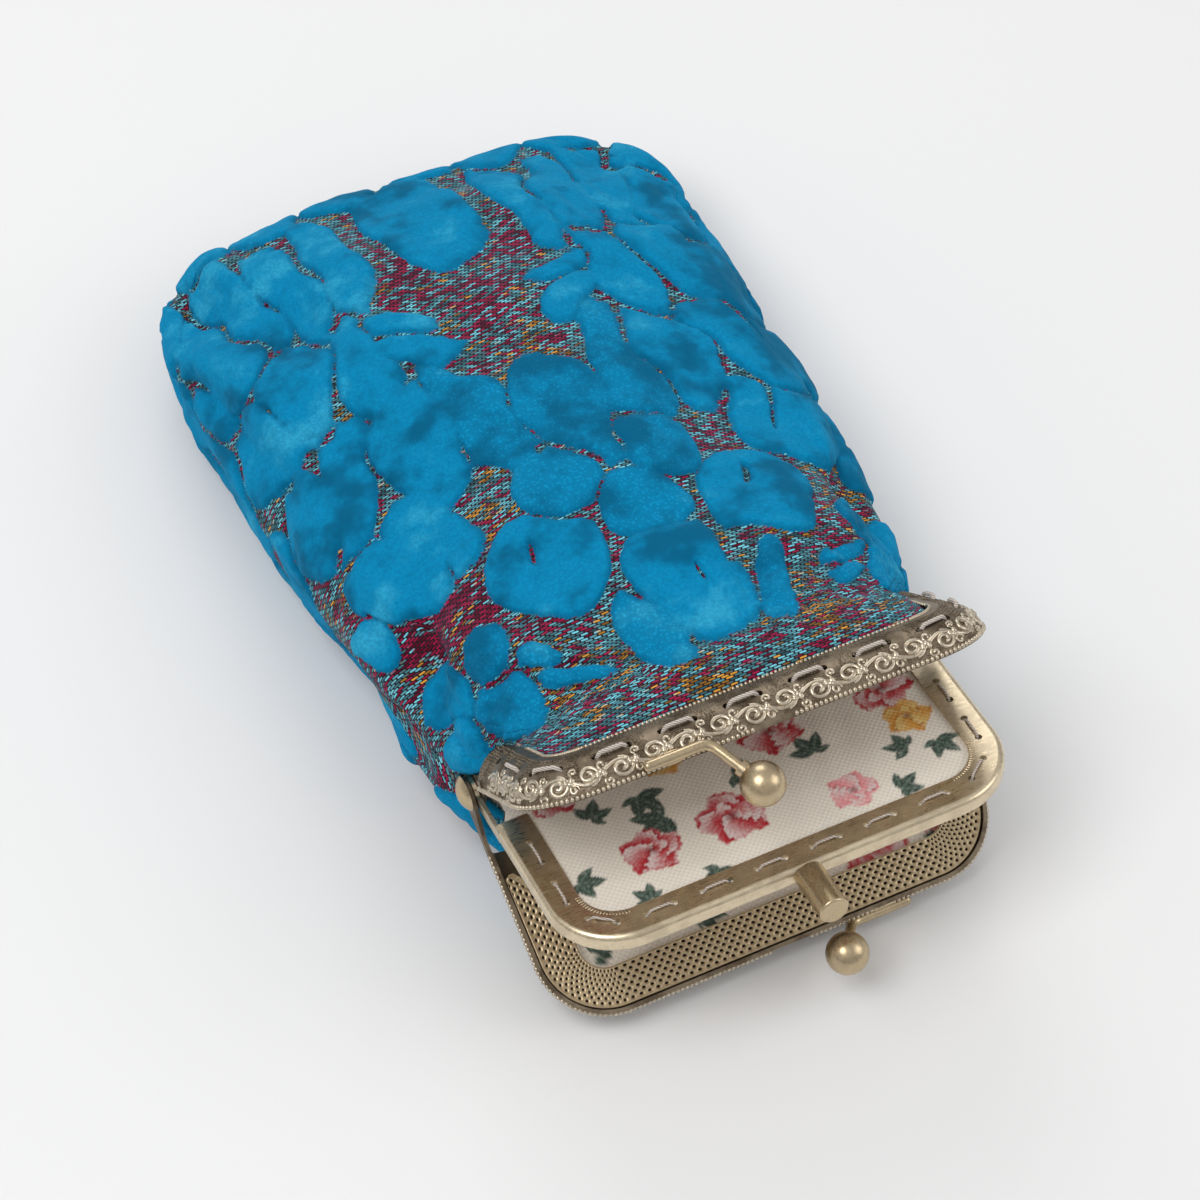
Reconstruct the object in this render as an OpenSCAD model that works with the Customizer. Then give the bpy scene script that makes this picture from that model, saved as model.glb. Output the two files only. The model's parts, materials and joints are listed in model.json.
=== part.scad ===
// Two-pocket kiss-lock pouch: a hinged three-leaf metal frame sewn onto a lined velvet bag.
// X runs across the mouth, -Y is the mouth, +Z is up. The pouch lies on its back panel.

/* [Frame] */
// Width over the side walls of the front and back frames
frame_w = 94.8; // [84:0.2:116]
// Distance from the hinge axis to the mouth edge of every frame
leg_len = 49.2; // [42:0.2:66]
// Outer radius of the two mouth corners
corner_r = 14; // [12:0.5:20]
// Thickness of the stamped sheet
sheet_t = 0.8; // [0.6:0.05:1]
// Height of a front or back channel, from closing edge to crown
channel_h = 7; // [6:0.1:8.5]
// Radius of the rounded outer face of a front or back channel
crown_r = 8; // [7:0.1:9.5]
// Width of a front or back channel, from outer face to fabric edge
channel_w = 8.6; // [8:0.1:9.5]
// Height of the middle channel over both flanges
middle_h = 4; // [3.4:0.1:5.4]
// Width of the flanges of the middle channel
middle_flange_w = 6.6; // [5.6:0.1:8]
// Gap between two closed frames
closing_gap = 0.2; // [0.1:0.05:0.5]
// Distance from the hinge axis to the start of each channel
ear_len = 12; // [10:0.5:15]

/* [Sewing holes] */
// Radius of the sewing holes
hole_r = 0.7; // [0.5:0.05:0.9]
// Spacing of the holes in the front and back frames
outer_pitch = 6.5; // [5:0.1:8]
// Spacing of the holes in the middle frame
middle_pitch = 5.6; // [4.5:0.1:8]
// Distance of the holes from the outer face of the middle frame
middle_hole_inset = 3.9; // [3:0.1:4.6]

/* [Pocket-side strips] */
// Width of the dimpled strip pressed into each outer channel
strip_w = 9; // [8:0.1:9.6]
// Thickness of the strip
strip_t = 0.6; // [0.4:0.05:0.8]
// Depth of the strip below the closing edge
strip_recess = 1; // [0.6:0.1:1.6]

/* [Clasp] */
// Radius of the two clasp balls
ball_r = 4.2; // [3.4:0.1:5]
// Radius of the wire arm of a ball
wire_r = 1; // [0.8:0.05:1.2]
// Radius of the fixed post
post_r = 2.9; // [2.4:0.05:3.4]
// Length of the post beyond the middle frame
post_len = 10.5; // [9:0.5:14]
// Side clearance between a passing ball and the post
pass_gap = 0.15; // [0.05:0.05:0.4]
// Distance of a ball's centre beyond the mouth edge
ball_reach = 6; // [5.4:0.1:8]
// Distance of a locked ball's centre past the middle of the post
ball_drop = 5.5; // [5:0.1:7]
// Straight length of a wire arm along its frame
arm_len = 10; // [7:0.5:14]
// Inside-to-centre bend radius of a wire arm
arm_bend_r = 3; // [2.2:0.1:4]

/* [Hinge] */
// Radius of the eye at the end of each ear
eye_r = 3.2; // [2.8:0.1:3.8]
// Radius of the rivet shank
rivet_r = 1; // [0.8:0.05:1.2]
// Running clearance of the rivet in the ears, on the radius
rivet_gap = 0.05; // [0.02:0.01:0.1]
// Gap between two stacked ears
ear_gap = 0.2; // [0.1:0.05:0.4]
// Radius of the domed rivet head
dome_r = 3.6; // [3:0.1:4.2]
// Height of the domed rivet head
dome_h = 1.7; // [1.2:0.1:2.2]

/* [Pose at rest] */
// Tilt of the front frame above level
front_tilt = 46.6; // [30:0.1:55]
// Tilt of the middle frame above level
middle_tilt = 11.7; // [5:0.1:16]
// Tilt of the back frame below level
back_tilt = 23.9; // [10:0.1:26]
// Height of the back frame's crown above the table
frame_clear = 3.2; // [2:0.1:8]
// How far each outer frame can open past this pose
open_more = 15; // [5:1:20]

/* [Bag] */
// Length of the bag from the hinge axis to its bottom seam
bag_len = 150; // [110:1:190]
// How much narrower than the frames the bag is at the hinge, on each side
mouth_ease = 0.4; // [0:0.1:2]
// How much the bag widens on each side towards its bottom
bag_flare = 9.5; // [2:0.5:14]
// Corner radius of the bag's bottom, seen from above
bag_corner_r = 22; // [14:1:30]
// Height of the front panel above the side seam at the hinge
front_rise = 31; // [26:0.5:36]
// Height of the front panel above the side seam near the bottom
front_rise_end = 18; // [12:0.5:24]
// Height of the bottom seam above the table
bottom_seam_z = 14; // [11:0.5:18]
// Thickness of the velvet
velvet_t = 2.2; // [1.4:0.1:3]
// Thickness of the padding behind it
padding_t = 1.6; // [0.8:0.1:2.4]
// Thickness of the cotton lining
lining_t = 0.6; // [0.4:0.1:0.9]
// Free play between two fabric layers
layer_gap = 0.2; // [0.1:0.05:0.4]
// Thickness of the stiff sheet inside the divider
stiffener_t = 0.8; // [0.5:0.1:1]

/* [Hidden] */

brass = "#8a7650";
pale_brass = "#b8a172";
velvet = "#0a91c8";
batting = "#e9e4da";
cotton = "#e6dccb";
rose_cotton = "#c9505a";
buckram = "#cfc4ae";

hinge_ease = 0.4;                         // gap between the bag and the eyes and rivet heads
swing_slack = max(eye_r, dome_r) + hinge_ease;
cut = 1;                                  // overrun of every cutting tool
curve_fn = 64;

frame_half = frame_w / 2;
mouth_half_w = frame_half - mouth_ease;
closing_z = middle_h / 2 + closing_gap;   // height of the closing edge above the leaf's own mid plane
middle_half = frame_half - sheet_t - ear_gap;
inner_ear_half = middle_half - sheet_t - ear_gap;

// ---------- paths round a frame ----------

// Point and inward direction at distance s along a U that is inset by n from a frame's outline
function u_leg(n) = leg_len - corner_r - ear_len;
function u_arc(n) = PI / 2 * (corner_r - n);
function u_mouth(half) = 2 * (half - corner_r);
function u_total(half, n) = 2 * u_leg(n) + 2 * u_arc(n) + u_mouth(half);
function u_left(half, n, s) =
    s < u_leg(n)
    ? [-half + n, -ear_len - s, 0]
    : s < u_leg(n) + u_arc(n)
    ? let (a = (s - u_leg(n)) / (corner_r - n) * 180 / PI)
        [-half + corner_r - (corner_r - n) * cos(a),
         -leg_len + corner_r - (corner_r - n) * sin(a), a]
    : [-half + corner_r + s - u_leg(n) - u_arc(n), -leg_len + n, 90];
function u_point(half, n, s) =
    let (total = u_total(half, n))
    s <= total / 2
    ? u_left(half, n, s)
    : let (p = u_left(half, n, total - s)) [-p[0], p[1], 180 - p[2]];

// One section, drawn with x inward and y up, carried round the legs, corners and mouth of a frame
module u_sweep(half, start) {
    for (side = [0, 1]) mirror([side, 0, 0]) {
        translate([-half, -start, 0]) rotate([90, 0, 0])
            linear_extrude(leg_len - corner_r - start) children();
        translate([-half + corner_r, -leg_len + corner_r, 0]) rotate(180)
            rotate_extrude(angle = 90, $fn = curve_fn)
                translate([corner_r, 0]) mirror([1, 0]) children();
    }
    translate([-half + corner_r, -leg_len, 0]) rotate([90, 0, 90])
        linear_extrude(2 * (half - corner_r)) children();
}

// A row of holes round a frame, centred on the mouth, each drilled square to the surface
module hole_row(half, inset, level, lean, pitch) {
    total = u_total(half, inset);
    count = floor((total - pitch) / pitch);
    for (k = [0 : count - 1]) {
        p = u_point(half, inset, total / 2 + (k - (count - 1) / 2) * pitch);
        translate([p[0], p[1], level]) rotate([0, 0, p[2]]) rotate([0, -lean, 0])
            cylinder(h = 4 * sheet_t, r = hole_r, center = true, $fn = 24);
    }
}

// ---------- front and back frames ----------

// The rounded outer face of a channel: a band of a circle from closing edge to fabric edge
crown_z = channel_h - crown_r;            // height of the circle's centre above the closing edge
module channel_section() {
    intersection() {
        difference() {
            translate([crown_r, crown_z]) circle(crown_r, $fn = curve_fn);
            translate([crown_r, crown_z]) circle(crown_r - sheet_t, $fn = curve_fn);
        }
        square([crown_r, channel_h]);
    }
    translate([crown_r, channel_h - sheet_t]) square([channel_w - crown_r, sheet_t]);
}

// Eye and blade of one ear seen from the side, x towards the mouth and y up
blade_low = closing_z + 0.3;
blade_high = closing_z + 2.4;
module ear_outline() {
    circle(eye_r, $fn = curve_fn);
    polygon([
        [0, eye_r], [ear_len + 3, blade_high], [ear_len + 3, blade_low],
        [ear_len - 2.5, blade_low], [eye_r * 0.6, -eye_r * 0.8]
    ]);
}

// The ear's plate seen from above: straight, or stepped inward so that it stacks inside
module ear_plan(half, ear_half) {
    step_end = ear_len + 1.5;
    step_start = ear_len - 1.5;
    polygon([
        [-half, -ear_len - 3], [-half, -step_end], [-ear_half, -step_start], [-ear_half, eye_r + cut],
        [-ear_half + sheet_t, eye_r + cut], [-ear_half + sheet_t, -step_start],
        [-half + sheet_t, -step_end], [-half + sheet_t, -ear_len - 3]
    ]);
}

module ears(half, ear_half) {
    for (side = [0, 1]) mirror([side, 0, 0]) difference() {
        intersection() {
            translate([0, 0, -eye_r - cut])
                linear_extrude(2 * eye_r + channel_h + 2 * cut) ear_plan(half, ear_half);
            translate([-half - cut, 0, 0]) rotate([90, 0, 90]) mirror([1, 0, 0])
                linear_extrude(half - ear_half + sheet_t + 2 * cut) ear_outline();
        }
        translate([-half - cut, 0, 0]) rotate([0, 90, 0])
            cylinder(h = half - ear_half + sheet_t + 2 * cut, r = rivet_r + rivet_gap, $fn = curve_fn);
    }
}

// Height of the hinge axis above the table, so that the back frame's crown stays off it
hinge_z = frame_clear + (leg_len - crown_r) * sin(back_tilt)
    + (closing_z + crown_z) * cos(back_tilt) + crown_r;

// Angle on the crown at which the sewing holes sit, measured from level
hole_angle = 57;
outer_hole_inset = crown_r * (1 - cos(hole_angle));
module outer_frame(ear_half) {
    difference() {
        translate([0, 0, closing_z]) u_sweep(frame_half, ear_len) channel_section();
        hole_row(frame_half, outer_hole_inset,
                 closing_z + crown_z + crown_r * sin(hole_angle), 90 - hole_angle, outer_pitch);
    }
    ears(frame_half, ear_half);
}

// Strip with a short lip along the wall, cut away at a taper towards the hinge
strip_start = ear_len + 5;
strip_gap = 0.05;
strip_lip = 2;
module inner_strip() {
    intersection() {
        translate([0, 0, closing_z + strip_recess]) u_sweep(frame_half, strip_start) {
            translate([strip_foot, 0]) square([strip_w - strip_foot, strip_t]);
            translate([strip_foot, 0]) square([strip_t, strip_lip]);
        }
        linear_extrude(closing_z + channel_h) strip_plan();
    }
}
// where the strip's lip meets the inside of the curved wall
strip_foot = crown_r + strip_gap
    - sqrt(pow(crown_r - sheet_t, 2) - pow(strip_recess + strip_lip - crown_z, 2));
module strip_plan() {
    inner = frame_half - strip_w;
    difference() {
        translate([-frame_half - cut, -leg_len - cut])
            square([frame_w + 2 * cut, leg_len - strip_start + cut]);
        for (side = [0, 1]) mirror([side, 0])
            polygon([[-inner - strip_w * 0.75, -strip_start + cut],
                     [-inner + cut, -strip_start - strip_w * 0.9], [-inner + cut, -strip_start + cut]]);
    }
}

// ---------- clasp ----------

// The arm leaves its straight run at x = arm_turn_x and reaches the ball's centre
ball_x = ball_r + post_r + pass_gap;
arm_angle = 17;                           // place of the arm on the crown, from level
arm_in = crown_r - (crown_r + wire_r) * cos(arm_angle);
arm_z = closing_z + crown_z + (crown_r + wire_r) * sin(arm_angle);
ball_at = [-ball_x, -leg_len - ball_reach, -ball_drop];
arm_side = norm([ball_at[1] + leg_len - arm_in, ball_at[2] - arm_z]);
arm_bend = 62;                            // angle of the bend away from the frame
arm_roll = atan2(ball_at[2] - arm_z, ball_at[1] + leg_len - arm_in);
// length of the free end, so that it reaches the ball's centre
arm_free = (arm_side - arm_bend_r * (1 - cos(arm_bend))) / sin(arm_bend);
arm_turn_x = ball_at[0] - arm_free * cos(arm_bend) - arm_bend_r * sin(arm_bend);

draw_down = 0.01;                         // the wire is a hair thinner past its bend
arm_lap = 0.1;                            // how far the free end reaches back into the bend
module wire_path(end_short) {
    rotate([0, -90, 0]) cylinder(h = arm_len, r = wire_r, $fn = curve_fn);
    translate([-arm_len, 0, 0]) sphere(wire_r, $fn = curve_fn);
    translate([0, arm_bend_r, 0]) rotate(-90)
        rotate_extrude(angle = arm_bend, $fn = curve_fn)
            translate([arm_bend_r, 0]) circle(wire_r, $fn = curve_fn);
    translate([arm_bend_r * sin(arm_bend), arm_bend_r * (1 - cos(arm_bend)), 0])
        rotate([0, 90, arm_bend]) translate([0, 0, -arm_lap])
        cylinder(h = arm_free - end_short + arm_lap, r = wire_r - draw_down, $fn = curve_fn);
}
module place_arm() {
    translate([arm_turn_x, -leg_len + arm_in, arm_z]) rotate([arm_roll, 0, 0]) children();
}
socket_depth = 2.4;
socket_gap = 0.02;
collar_r = wire_r + 0.6;                  // ring round the wire where it enters the ball
collar_h = 0.9;
module clasp_arm() {
    place_arm() wire_path(ball_r - socket_depth + socket_gap);
}
// carries its children to the start of the arm's free end, with z along the wire
module free_end() {
    place_arm() translate([arm_bend_r * sin(arm_bend), arm_bend_r * (1 - cos(arm_bend)), 0])
        rotate([0, 90, arm_bend]) children();
}
module clasp_ball() {
    difference() {
        union() {
            translate(ball_at) sphere(ball_r, $fn = curve_fn);
            free_end() translate([0, 0, arm_free - ball_r - collar_h])
                cylinder(h = 2 * collar_h, r = collar_r, $fn = curve_fn);
        }
        free_end()
            cylinder(h = arm_free - ball_r + socket_depth, r = wire_r + socket_gap, $fn = curve_fn);
    }
}

// ---------- middle frame ----------

edge_r = 1.2;
module middle_section() {
    difference() {
        union() {
            translate([edge_r, -middle_h / 2]) square([middle_flange_w - edge_r, middle_h]);
            translate([0, -middle_h / 2 + edge_r]) square([edge_r, middle_h - 2 * edge_r]);
            for (s = [-1, 1]) translate([edge_r, s * (middle_h / 2 - edge_r)])
                circle(edge_r, $fn = curve_fn);
        }
        translate([sheet_t, -middle_h / 2 + sheet_t]) square([middle_flange_w, middle_h - 2 * sheet_t]);
    }
}
shank_r = 1;
shank_gap = 0.03;
shank_tail = 0.5;                         // riveted end of the shank inside the channel
module middle_ear_outline() {
    circle(eye_r, $fn = curve_fn);
    translate([0, -middle_h / 2 + edge_r / 2]) square([ear_len + 1.5, middle_h - edge_r]);
}
module middle_body() {
    difference() {
        u_sweep(middle_half, ear_len) middle_section();
        hole_row(middle_half, middle_hole_inset, middle_h / 2, 0, middle_pitch);
        hole_row(middle_half, middle_hole_inset, -middle_h / 2, 0, middle_pitch);
        translate([0, -leg_len - cut, 0]) rotate([-90, 0, 0])
            cylinder(h = sheet_t + 2 * cut, r = shank_r + shank_gap, $fn = curve_fn);
    }
    for (side = [0, 1]) mirror([side, 0, 0]) difference() {
        translate([-middle_half, 0, 0]) rotate([90, 0, 90]) mirror([1, 0, 0])
            linear_extrude(sheet_t) middle_ear_outline();
        translate([-middle_half - cut, 0, 0]) rotate([0, 90, 0])
            cylinder(h = sheet_t + 2 * cut, r = rivet_r + rivet_gap, $fn = curve_fn);
    }
}
post_rim = 0.5;
module post_body() {
    translate([0, -leg_len, 0]) rotate([90, 0, 0]) rotate_extrude($fn = curve_fn) difference() {
        union() {
            square([post_r, post_len - post_rim]);
            square([post_r - post_rim, post_len]);
            translate([post_r - post_rim, post_len - post_rim]) circle(post_rim, $fn = curve_fn);
        }
        translate([-cut, -cut]) square([cut, post_len + 2 * cut]);
    }
    translate([0, -leg_len, 0]) rotate([-90, 0, 0])
        cylinder(h = sheet_t + shank_tail, r = shank_r, $fn = curve_fn);
}

// ---------- rivets ----------

module rivet() {
    dome_sphere = (dome_r * dome_r + dome_h * dome_h) / (2 * dome_h);
    head_x = frame_half + ear_gap / 2;
    tail_x = inner_ear_half - sheet_t - ear_gap / 2;
    intersection() {
        translate([-head_x - dome_h + dome_sphere, 0, 0]) sphere(dome_sphere, $fn = curve_fn);
        translate([-head_x - dome_h - cut, -dome_r, -dome_r])
            cube([dome_h + cut, 2 * dome_r, 2 * dome_r]);
    }
    translate([-head_x, 0, 0]) rotate([0, 90, 0])
        cylinder(h = head_x - tail_x, r = rivet_r, $fn = curve_fn);
    translate([-tail_x, 0, 0]) rotate([0, 90, 0]) cylinder(h = 0.8, r = rivet_r * 1.8, $fn = curve_fn);
}

// ---------- bag ----------

around = 18;                              // steps across a panel
along = 14;                               // steps down the bag
hood_steps = 6;                           // steps from the hinge to the mouth
round_from = 0.72;                        // share of the length after which the panels round off

function seam_z(y) = hinge_z + (bottom_seam_z - hinge_z) * y / bag_len;
function half_w(y, d) =
    let (c = bag_corner_r, over = max(0, y - (bag_len - d) + c))
    mouth_half_w + bag_flare * sin(90 * min(1, y / bag_len / 0.7)) - d
    - (c - sqrt(max(0, c * c - over * over)));
function end_round(y, d) =
    let (u = max(0, (y / (bag_len - d) - round_from) / (1 - round_from)))
    pow(max(0, 1 - pow(u, 2.2)), 1 / 2.2);
function rise(y, side, d) =
    let (full = side > 0
         ? front_rise + (front_rise_end - front_rise) * y / bag_len
         : seam_z(y) + 1)
    (full - d) * end_round(y, d);
function power(a, e) = pow(abs(a), e) * (a < 0 ? -1 : 1);
// squarer below, where the bag lies on the table
function section_power(side) = side > 0 ? 2.3 : 3.4;

// Point t of the way round a panel and s of the way down the bag, d below the outer surface
function panel_point(side, d, t, s) =
    let (e = 2 / section_power(side), a = 180 * (1 - t),
         h0 = rise(0, side, d) * pow(sin(a), e),
         y0 = swing_slack + h0 * tan(open_more + 2),
         y = y0 + (bag_len - d - y0) * (1 - pow(1 - s, 1.7)))
    [half_w(y, d) * power(cos(a), e), y, seam_z(y) + side * (layer_gap / 2 + rise(y, side, d) * pow(sin(a), e))];

function leaf_tilt(side) = side > 0 ? front_tilt : -back_tilt;
// A place on a leaf, given as [across, towards the mouth, away from the middle leaf]
function on_leaf(side, p) =
    let (a = leaf_tilt(side), w = side * p[2])
    [p[0], -p[1] * cos(a) + w * sin(a), hinge_z + p[1] * sin(a) + w * cos(a)];
hood_inset = channel_w + 0.5;
hood_top = closing_z + channel_h - 0.6;
hood_play = 1;
function hood_bulge(side) = side > 0 ? 2.5 : 0.8;

// Point t of the way round the frame and s of the way from the hinge arch to the frame
function hood_point(side, d, t, s) =
    let (e = 2 / section_power(side), a = 180 * (1 - t),
         arch_w = frame_half - hood_inset - d * 0.5,
         arch_h = rise(0, side, 0) - 1.5 - d,
         arch = [arch_w * power(cos(a), e), -hood_play,
                 hinge_z + side * (eye_r + 1 + (arch_h - eye_r - 1) * pow(sin(a), e))],
         total = u_total(frame_half, hood_inset),
         p = u_point(frame_half, hood_inset, total * (0.04 + 0.92 * t)),
         rim = on_leaf(side, [p[0], -p[1], hood_top - d]),
         swell = hood_bulge(side) * 4 * s * (1 - s) * sin(a))
    arch + (rim - arch) * s + [0, -swell * 0.4, side * swell];

// A fabric layer between two surfaces that are given point by point
module layer(outer, inner, nt, ns) {
    w = nt + 1;
    n = w * (ns + 1);
    points = [
        for (f = [outer, inner]) for (j = [0 : ns]) for (i = [0 : nt]) f(i / nt, j / ns)
    ];
    faces = [
        for (j = [0 : ns - 1]) for (i = [0 : nt - 1]) let (a = j * w + i) each [
            [a, a + 1, a + w + 1], [a, a + w + 1, a + w],
            [n + a, n + a + w + 1, n + a + 1], [n + a, n + a + w, n + a + w + 1]
        ],
        for (i = [0 : nt - 1]) each [
            [i, n + i, n + i + 1], [i, n + i + 1, i + 1],
            let (b = ns * w + i) [b, b + 1, n + b + 1], let (b = ns * w + i) [b, n + b + 1, n + b]
        ],
        for (j = [0 : ns - 1]) let (a = j * w, b = j * w + nt) each [
            [a, a + w, n + a + w], [a, n + a + w, n + a],
            [b, n + b + w, b + w], [b, n + b, n + b + w]
        ]
    ];
    polyhedron(points, faces, convexity = 6);
}
module panel(side, from, to) {
    intersection() {
        mirrored(side) layer(function (t, s) flip(side, panel_point(side, from, t, s)),
                             function (t, s) flip(side, panel_point(side, to, t, s)), around, along);
        translate([-bag_len, -bag_len, 0]) cube([2 * bag_len, 3 * bag_len, bag_len]);
    }
}
module hood(side, from, to) {
    mirrored(side) layer(function (t, s) flip(side, hood_point(side, from, t, s)),
                         function (t, s) flip(side, hood_point(side, to, t, s)), around, hood_steps);
}
// lower panels are drawn upside down and mirrored back, so that their faces keep pointing outward
function flip(side, p) = [p[0], p[1], side * p[2]];
module mirrored(side) {
    if (side > 0) children();
    else mirror([0, 0, 1]) children();
}

padding_from = velvet_t + layer_gap;
lining_from = padding_from + padding_t + layer_gap;
lining_to = lining_from + lining_t;

// One sheet of the divider: a plate inside the middle frame and a longer one down the bag
divider_edge = 0.3;
divider_clear = 1.2;
neck_gap = 1.6;                           // between the divider and the innermost ears
function bag_slope() = atan((hinge_z - bottom_seam_z) / bag_len);
module frame_plate_plan() {
    half = middle_half - sheet_t - divider_edge;
    tip = leg_len - sheet_t - shank_tail - divider_edge;
    r = corner_r - sheet_t - divider_edge;
    translate([-half, -tip + r]) square([2 * half, tip - r - ear_len]);
    translate([-half + r, -tip]) square([2 * (half - r), tip]);
    for (s = [-1, 1]) translate([s * (half - r), -tip + r]) circle(r, $fn = curve_fn);
    neck = inner_ear_half - sheet_t - neck_gap;
    translate([-neck, -ear_len - cut]) square([2 * neck, ear_len + cut]);
}
module bag_plate_plan() {
    stop = bag_len - lining_to - divider_clear;
    rows = [for (k = [0 : 12]) stop * (1 - pow(1 - k / 12, 1.6))];
    d = lining_to + divider_clear;
    neck = inner_ear_half - sheet_t - neck_gap;
    right = [for (y = rows) [y < ear_len ? min(neck, half_w(y, d)) : half_w(y, d), y]];
    polygon(concat([[-neck, -cut], [neck, -cut]], right,
                   [for (k = [len(right) - 1 : -1 : 0]) [-right[k][0], right[k][1]]]));
}
module divider_sheet(from, to) {
    translate([0, 0, hinge_z]) rotate([-middle_tilt, 0, 0])
        translate([0, 0, from]) linear_extrude(to - from) frame_plate_plan();
    translate([0, 0, hinge_z]) rotate([-bag_slope(), 0, 0])
        translate([0, 0, from]) linear_extrude(to - from) bag_plate_plan();
}

// ---------- placing ----------

// The origin is on the table, midway along the pouch
front_end = (leg_len + post_len - post_rim) * cos(middle_tilt)
    + (post_r - post_rim) * sin(middle_tilt) + post_rim;
mid_y = (bag_len - front_end) / 2;
module on_table() {
    translate([0, -mid_y, 0]) children();
}
module front_leaf() {
    on_table() translate([0, 0, hinge_z]) rotate([-front_tilt, 0, 0]) children();
}
module middle_leaf() {
    on_table() translate([0, 0, hinge_z]) rotate([-middle_tilt, 0, 0]) children();
}
// the back frame is the front one turned half round about the direction of its legs
module back_leaf() {
    on_table() translate([0, 0, hinge_z]) rotate([back_tilt, 0, 0]) rotate([0, 180, 0]) children();
}

// ---------- nodes ----------

module front_frame() { color(brass) front_leaf() outer_frame(inner_ear_half); }
module front_inner_strip() { color(pale_brass) front_leaf() inner_strip(); }
module front_clasp_arm() { color(pale_brass) front_leaf() clasp_arm(); }
module front_clasp_ball() { color(pale_brass) front_leaf() clasp_ball(); }
module middle_frame() { color(brass) middle_leaf() middle_body(); }
module centre_post() { color(pale_brass) middle_leaf() post_body(); }
module left_hinge_rivet() { color(pale_brass) middle_leaf() rivet(); }
module right_hinge_rivet() { color(pale_brass) middle_leaf() mirror([1, 0, 0]) rivet(); }
module back_frame() { color(brass) back_leaf() outer_frame(frame_half); }
module back_inner_strip() { color(pale_brass) back_leaf() inner_strip(); }
module back_clasp_arm() { color(pale_brass) back_leaf() clasp_arm(); }
module back_clasp_ball() { color(pale_brass) back_leaf() clasp_ball(); }
module front_velvet_panel() { color(velvet) on_table() panel(1, 0, velvet_t); }
module front_velvet_mouth() { color(velvet) on_table() hood(1, 0, velvet_t); }
module back_velvet_panel() { color(velvet) on_table() panel(-1, 0, velvet_t); }
module back_velvet_mouth() { color(velvet) on_table() hood(-1, 0, velvet_t); }
module front_padding() { color(batting) on_table() panel(1, padding_from, padding_from + padding_t); }
module back_padding() { color(batting) on_table() panel(-1, padding_from, padding_from + padding_t); }
module front_lining() { color(cotton) on_table() panel(1, lining_from, lining_to); }
module front_lining_mouth() {
    color(cotton) on_table() hood(1, padding_from, padding_from + lining_t);
}
module back_lining() { color(rose_cotton) on_table() panel(-1, lining_from, lining_to); }
module back_lining_mouth() {
    color(rose_cotton) on_table() hood(-1, padding_from, padding_from + lining_t);
}
module divider_stiffener() {
    color(buckram) on_table() divider_sheet(-stiffener_t / 2, stiffener_t / 2);
}
sheet_gap = 0.03;
module divider_front_lining() {
    color(cotton) on_table() divider_sheet(stiffener_t / 2 + sheet_gap, stiffener_t / 2 + lining_t);
}
module divider_back_lining() {
    color(cotton) on_table() divider_sheet(-stiffener_t / 2 - lining_t, -stiffener_t / 2 - sheet_gap);
}

front_frame();
front_inner_strip();
front_clasp_arm();
front_clasp_ball();
middle_frame();
centre_post();
left_hinge_rivet();
right_hinge_rivet();
back_frame();
back_inner_strip();
back_clasp_arm();
back_clasp_ball();
front_velvet_panel();
front_velvet_mouth();
back_velvet_panel();
back_velvet_mouth();
front_padding();
back_padding();
front_lining();
front_lining_mouth();
back_lining();
back_lining_mouth();
divider_stiffener();
divider_front_lining();
divider_back_lining();
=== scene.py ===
"""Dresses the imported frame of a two-pocket kiss-lock pouch: velvet, lining, beading, thread and brass.

Lengths in the makers' functions are millimetres in the hinge frame: x across the mouth, y from the
hinge axis towards the bottom of the bag, z above the table. Meshes are written in metres.
"""

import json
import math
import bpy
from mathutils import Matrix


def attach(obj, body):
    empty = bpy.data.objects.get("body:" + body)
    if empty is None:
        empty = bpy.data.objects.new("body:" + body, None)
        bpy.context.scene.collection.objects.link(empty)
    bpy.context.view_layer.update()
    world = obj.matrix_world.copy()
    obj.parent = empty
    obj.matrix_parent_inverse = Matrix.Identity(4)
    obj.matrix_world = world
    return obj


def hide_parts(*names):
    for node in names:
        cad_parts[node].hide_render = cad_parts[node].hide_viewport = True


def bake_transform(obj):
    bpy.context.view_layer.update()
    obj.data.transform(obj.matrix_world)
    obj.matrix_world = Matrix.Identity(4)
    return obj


bl_info = {
    "name": "Kiss-Lock Pouch Dresser",
    "version": (1, 0, 0),
    "blender": (4, 5, 0),
    "location": "View3D > Sidebar > Pouch",
    "description": "Cut velvet, printed lining, beading, thread and brass for a three-leaf pouch frame",
    "category": "Object",
}

import bpy
import numpy as np
from mathutils import Vector

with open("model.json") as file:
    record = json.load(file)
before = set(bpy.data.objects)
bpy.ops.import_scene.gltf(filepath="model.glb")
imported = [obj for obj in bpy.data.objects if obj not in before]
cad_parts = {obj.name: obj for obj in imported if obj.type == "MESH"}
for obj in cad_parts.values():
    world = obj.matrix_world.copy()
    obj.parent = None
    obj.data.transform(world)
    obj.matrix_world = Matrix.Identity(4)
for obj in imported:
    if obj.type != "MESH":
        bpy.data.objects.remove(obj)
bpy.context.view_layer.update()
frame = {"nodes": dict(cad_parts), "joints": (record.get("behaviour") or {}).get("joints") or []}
HINGE = next(j["pos_m"] for j in frame["joints"] if j["name"] == "front_leaf_hinge")
MM = 0.001

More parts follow.
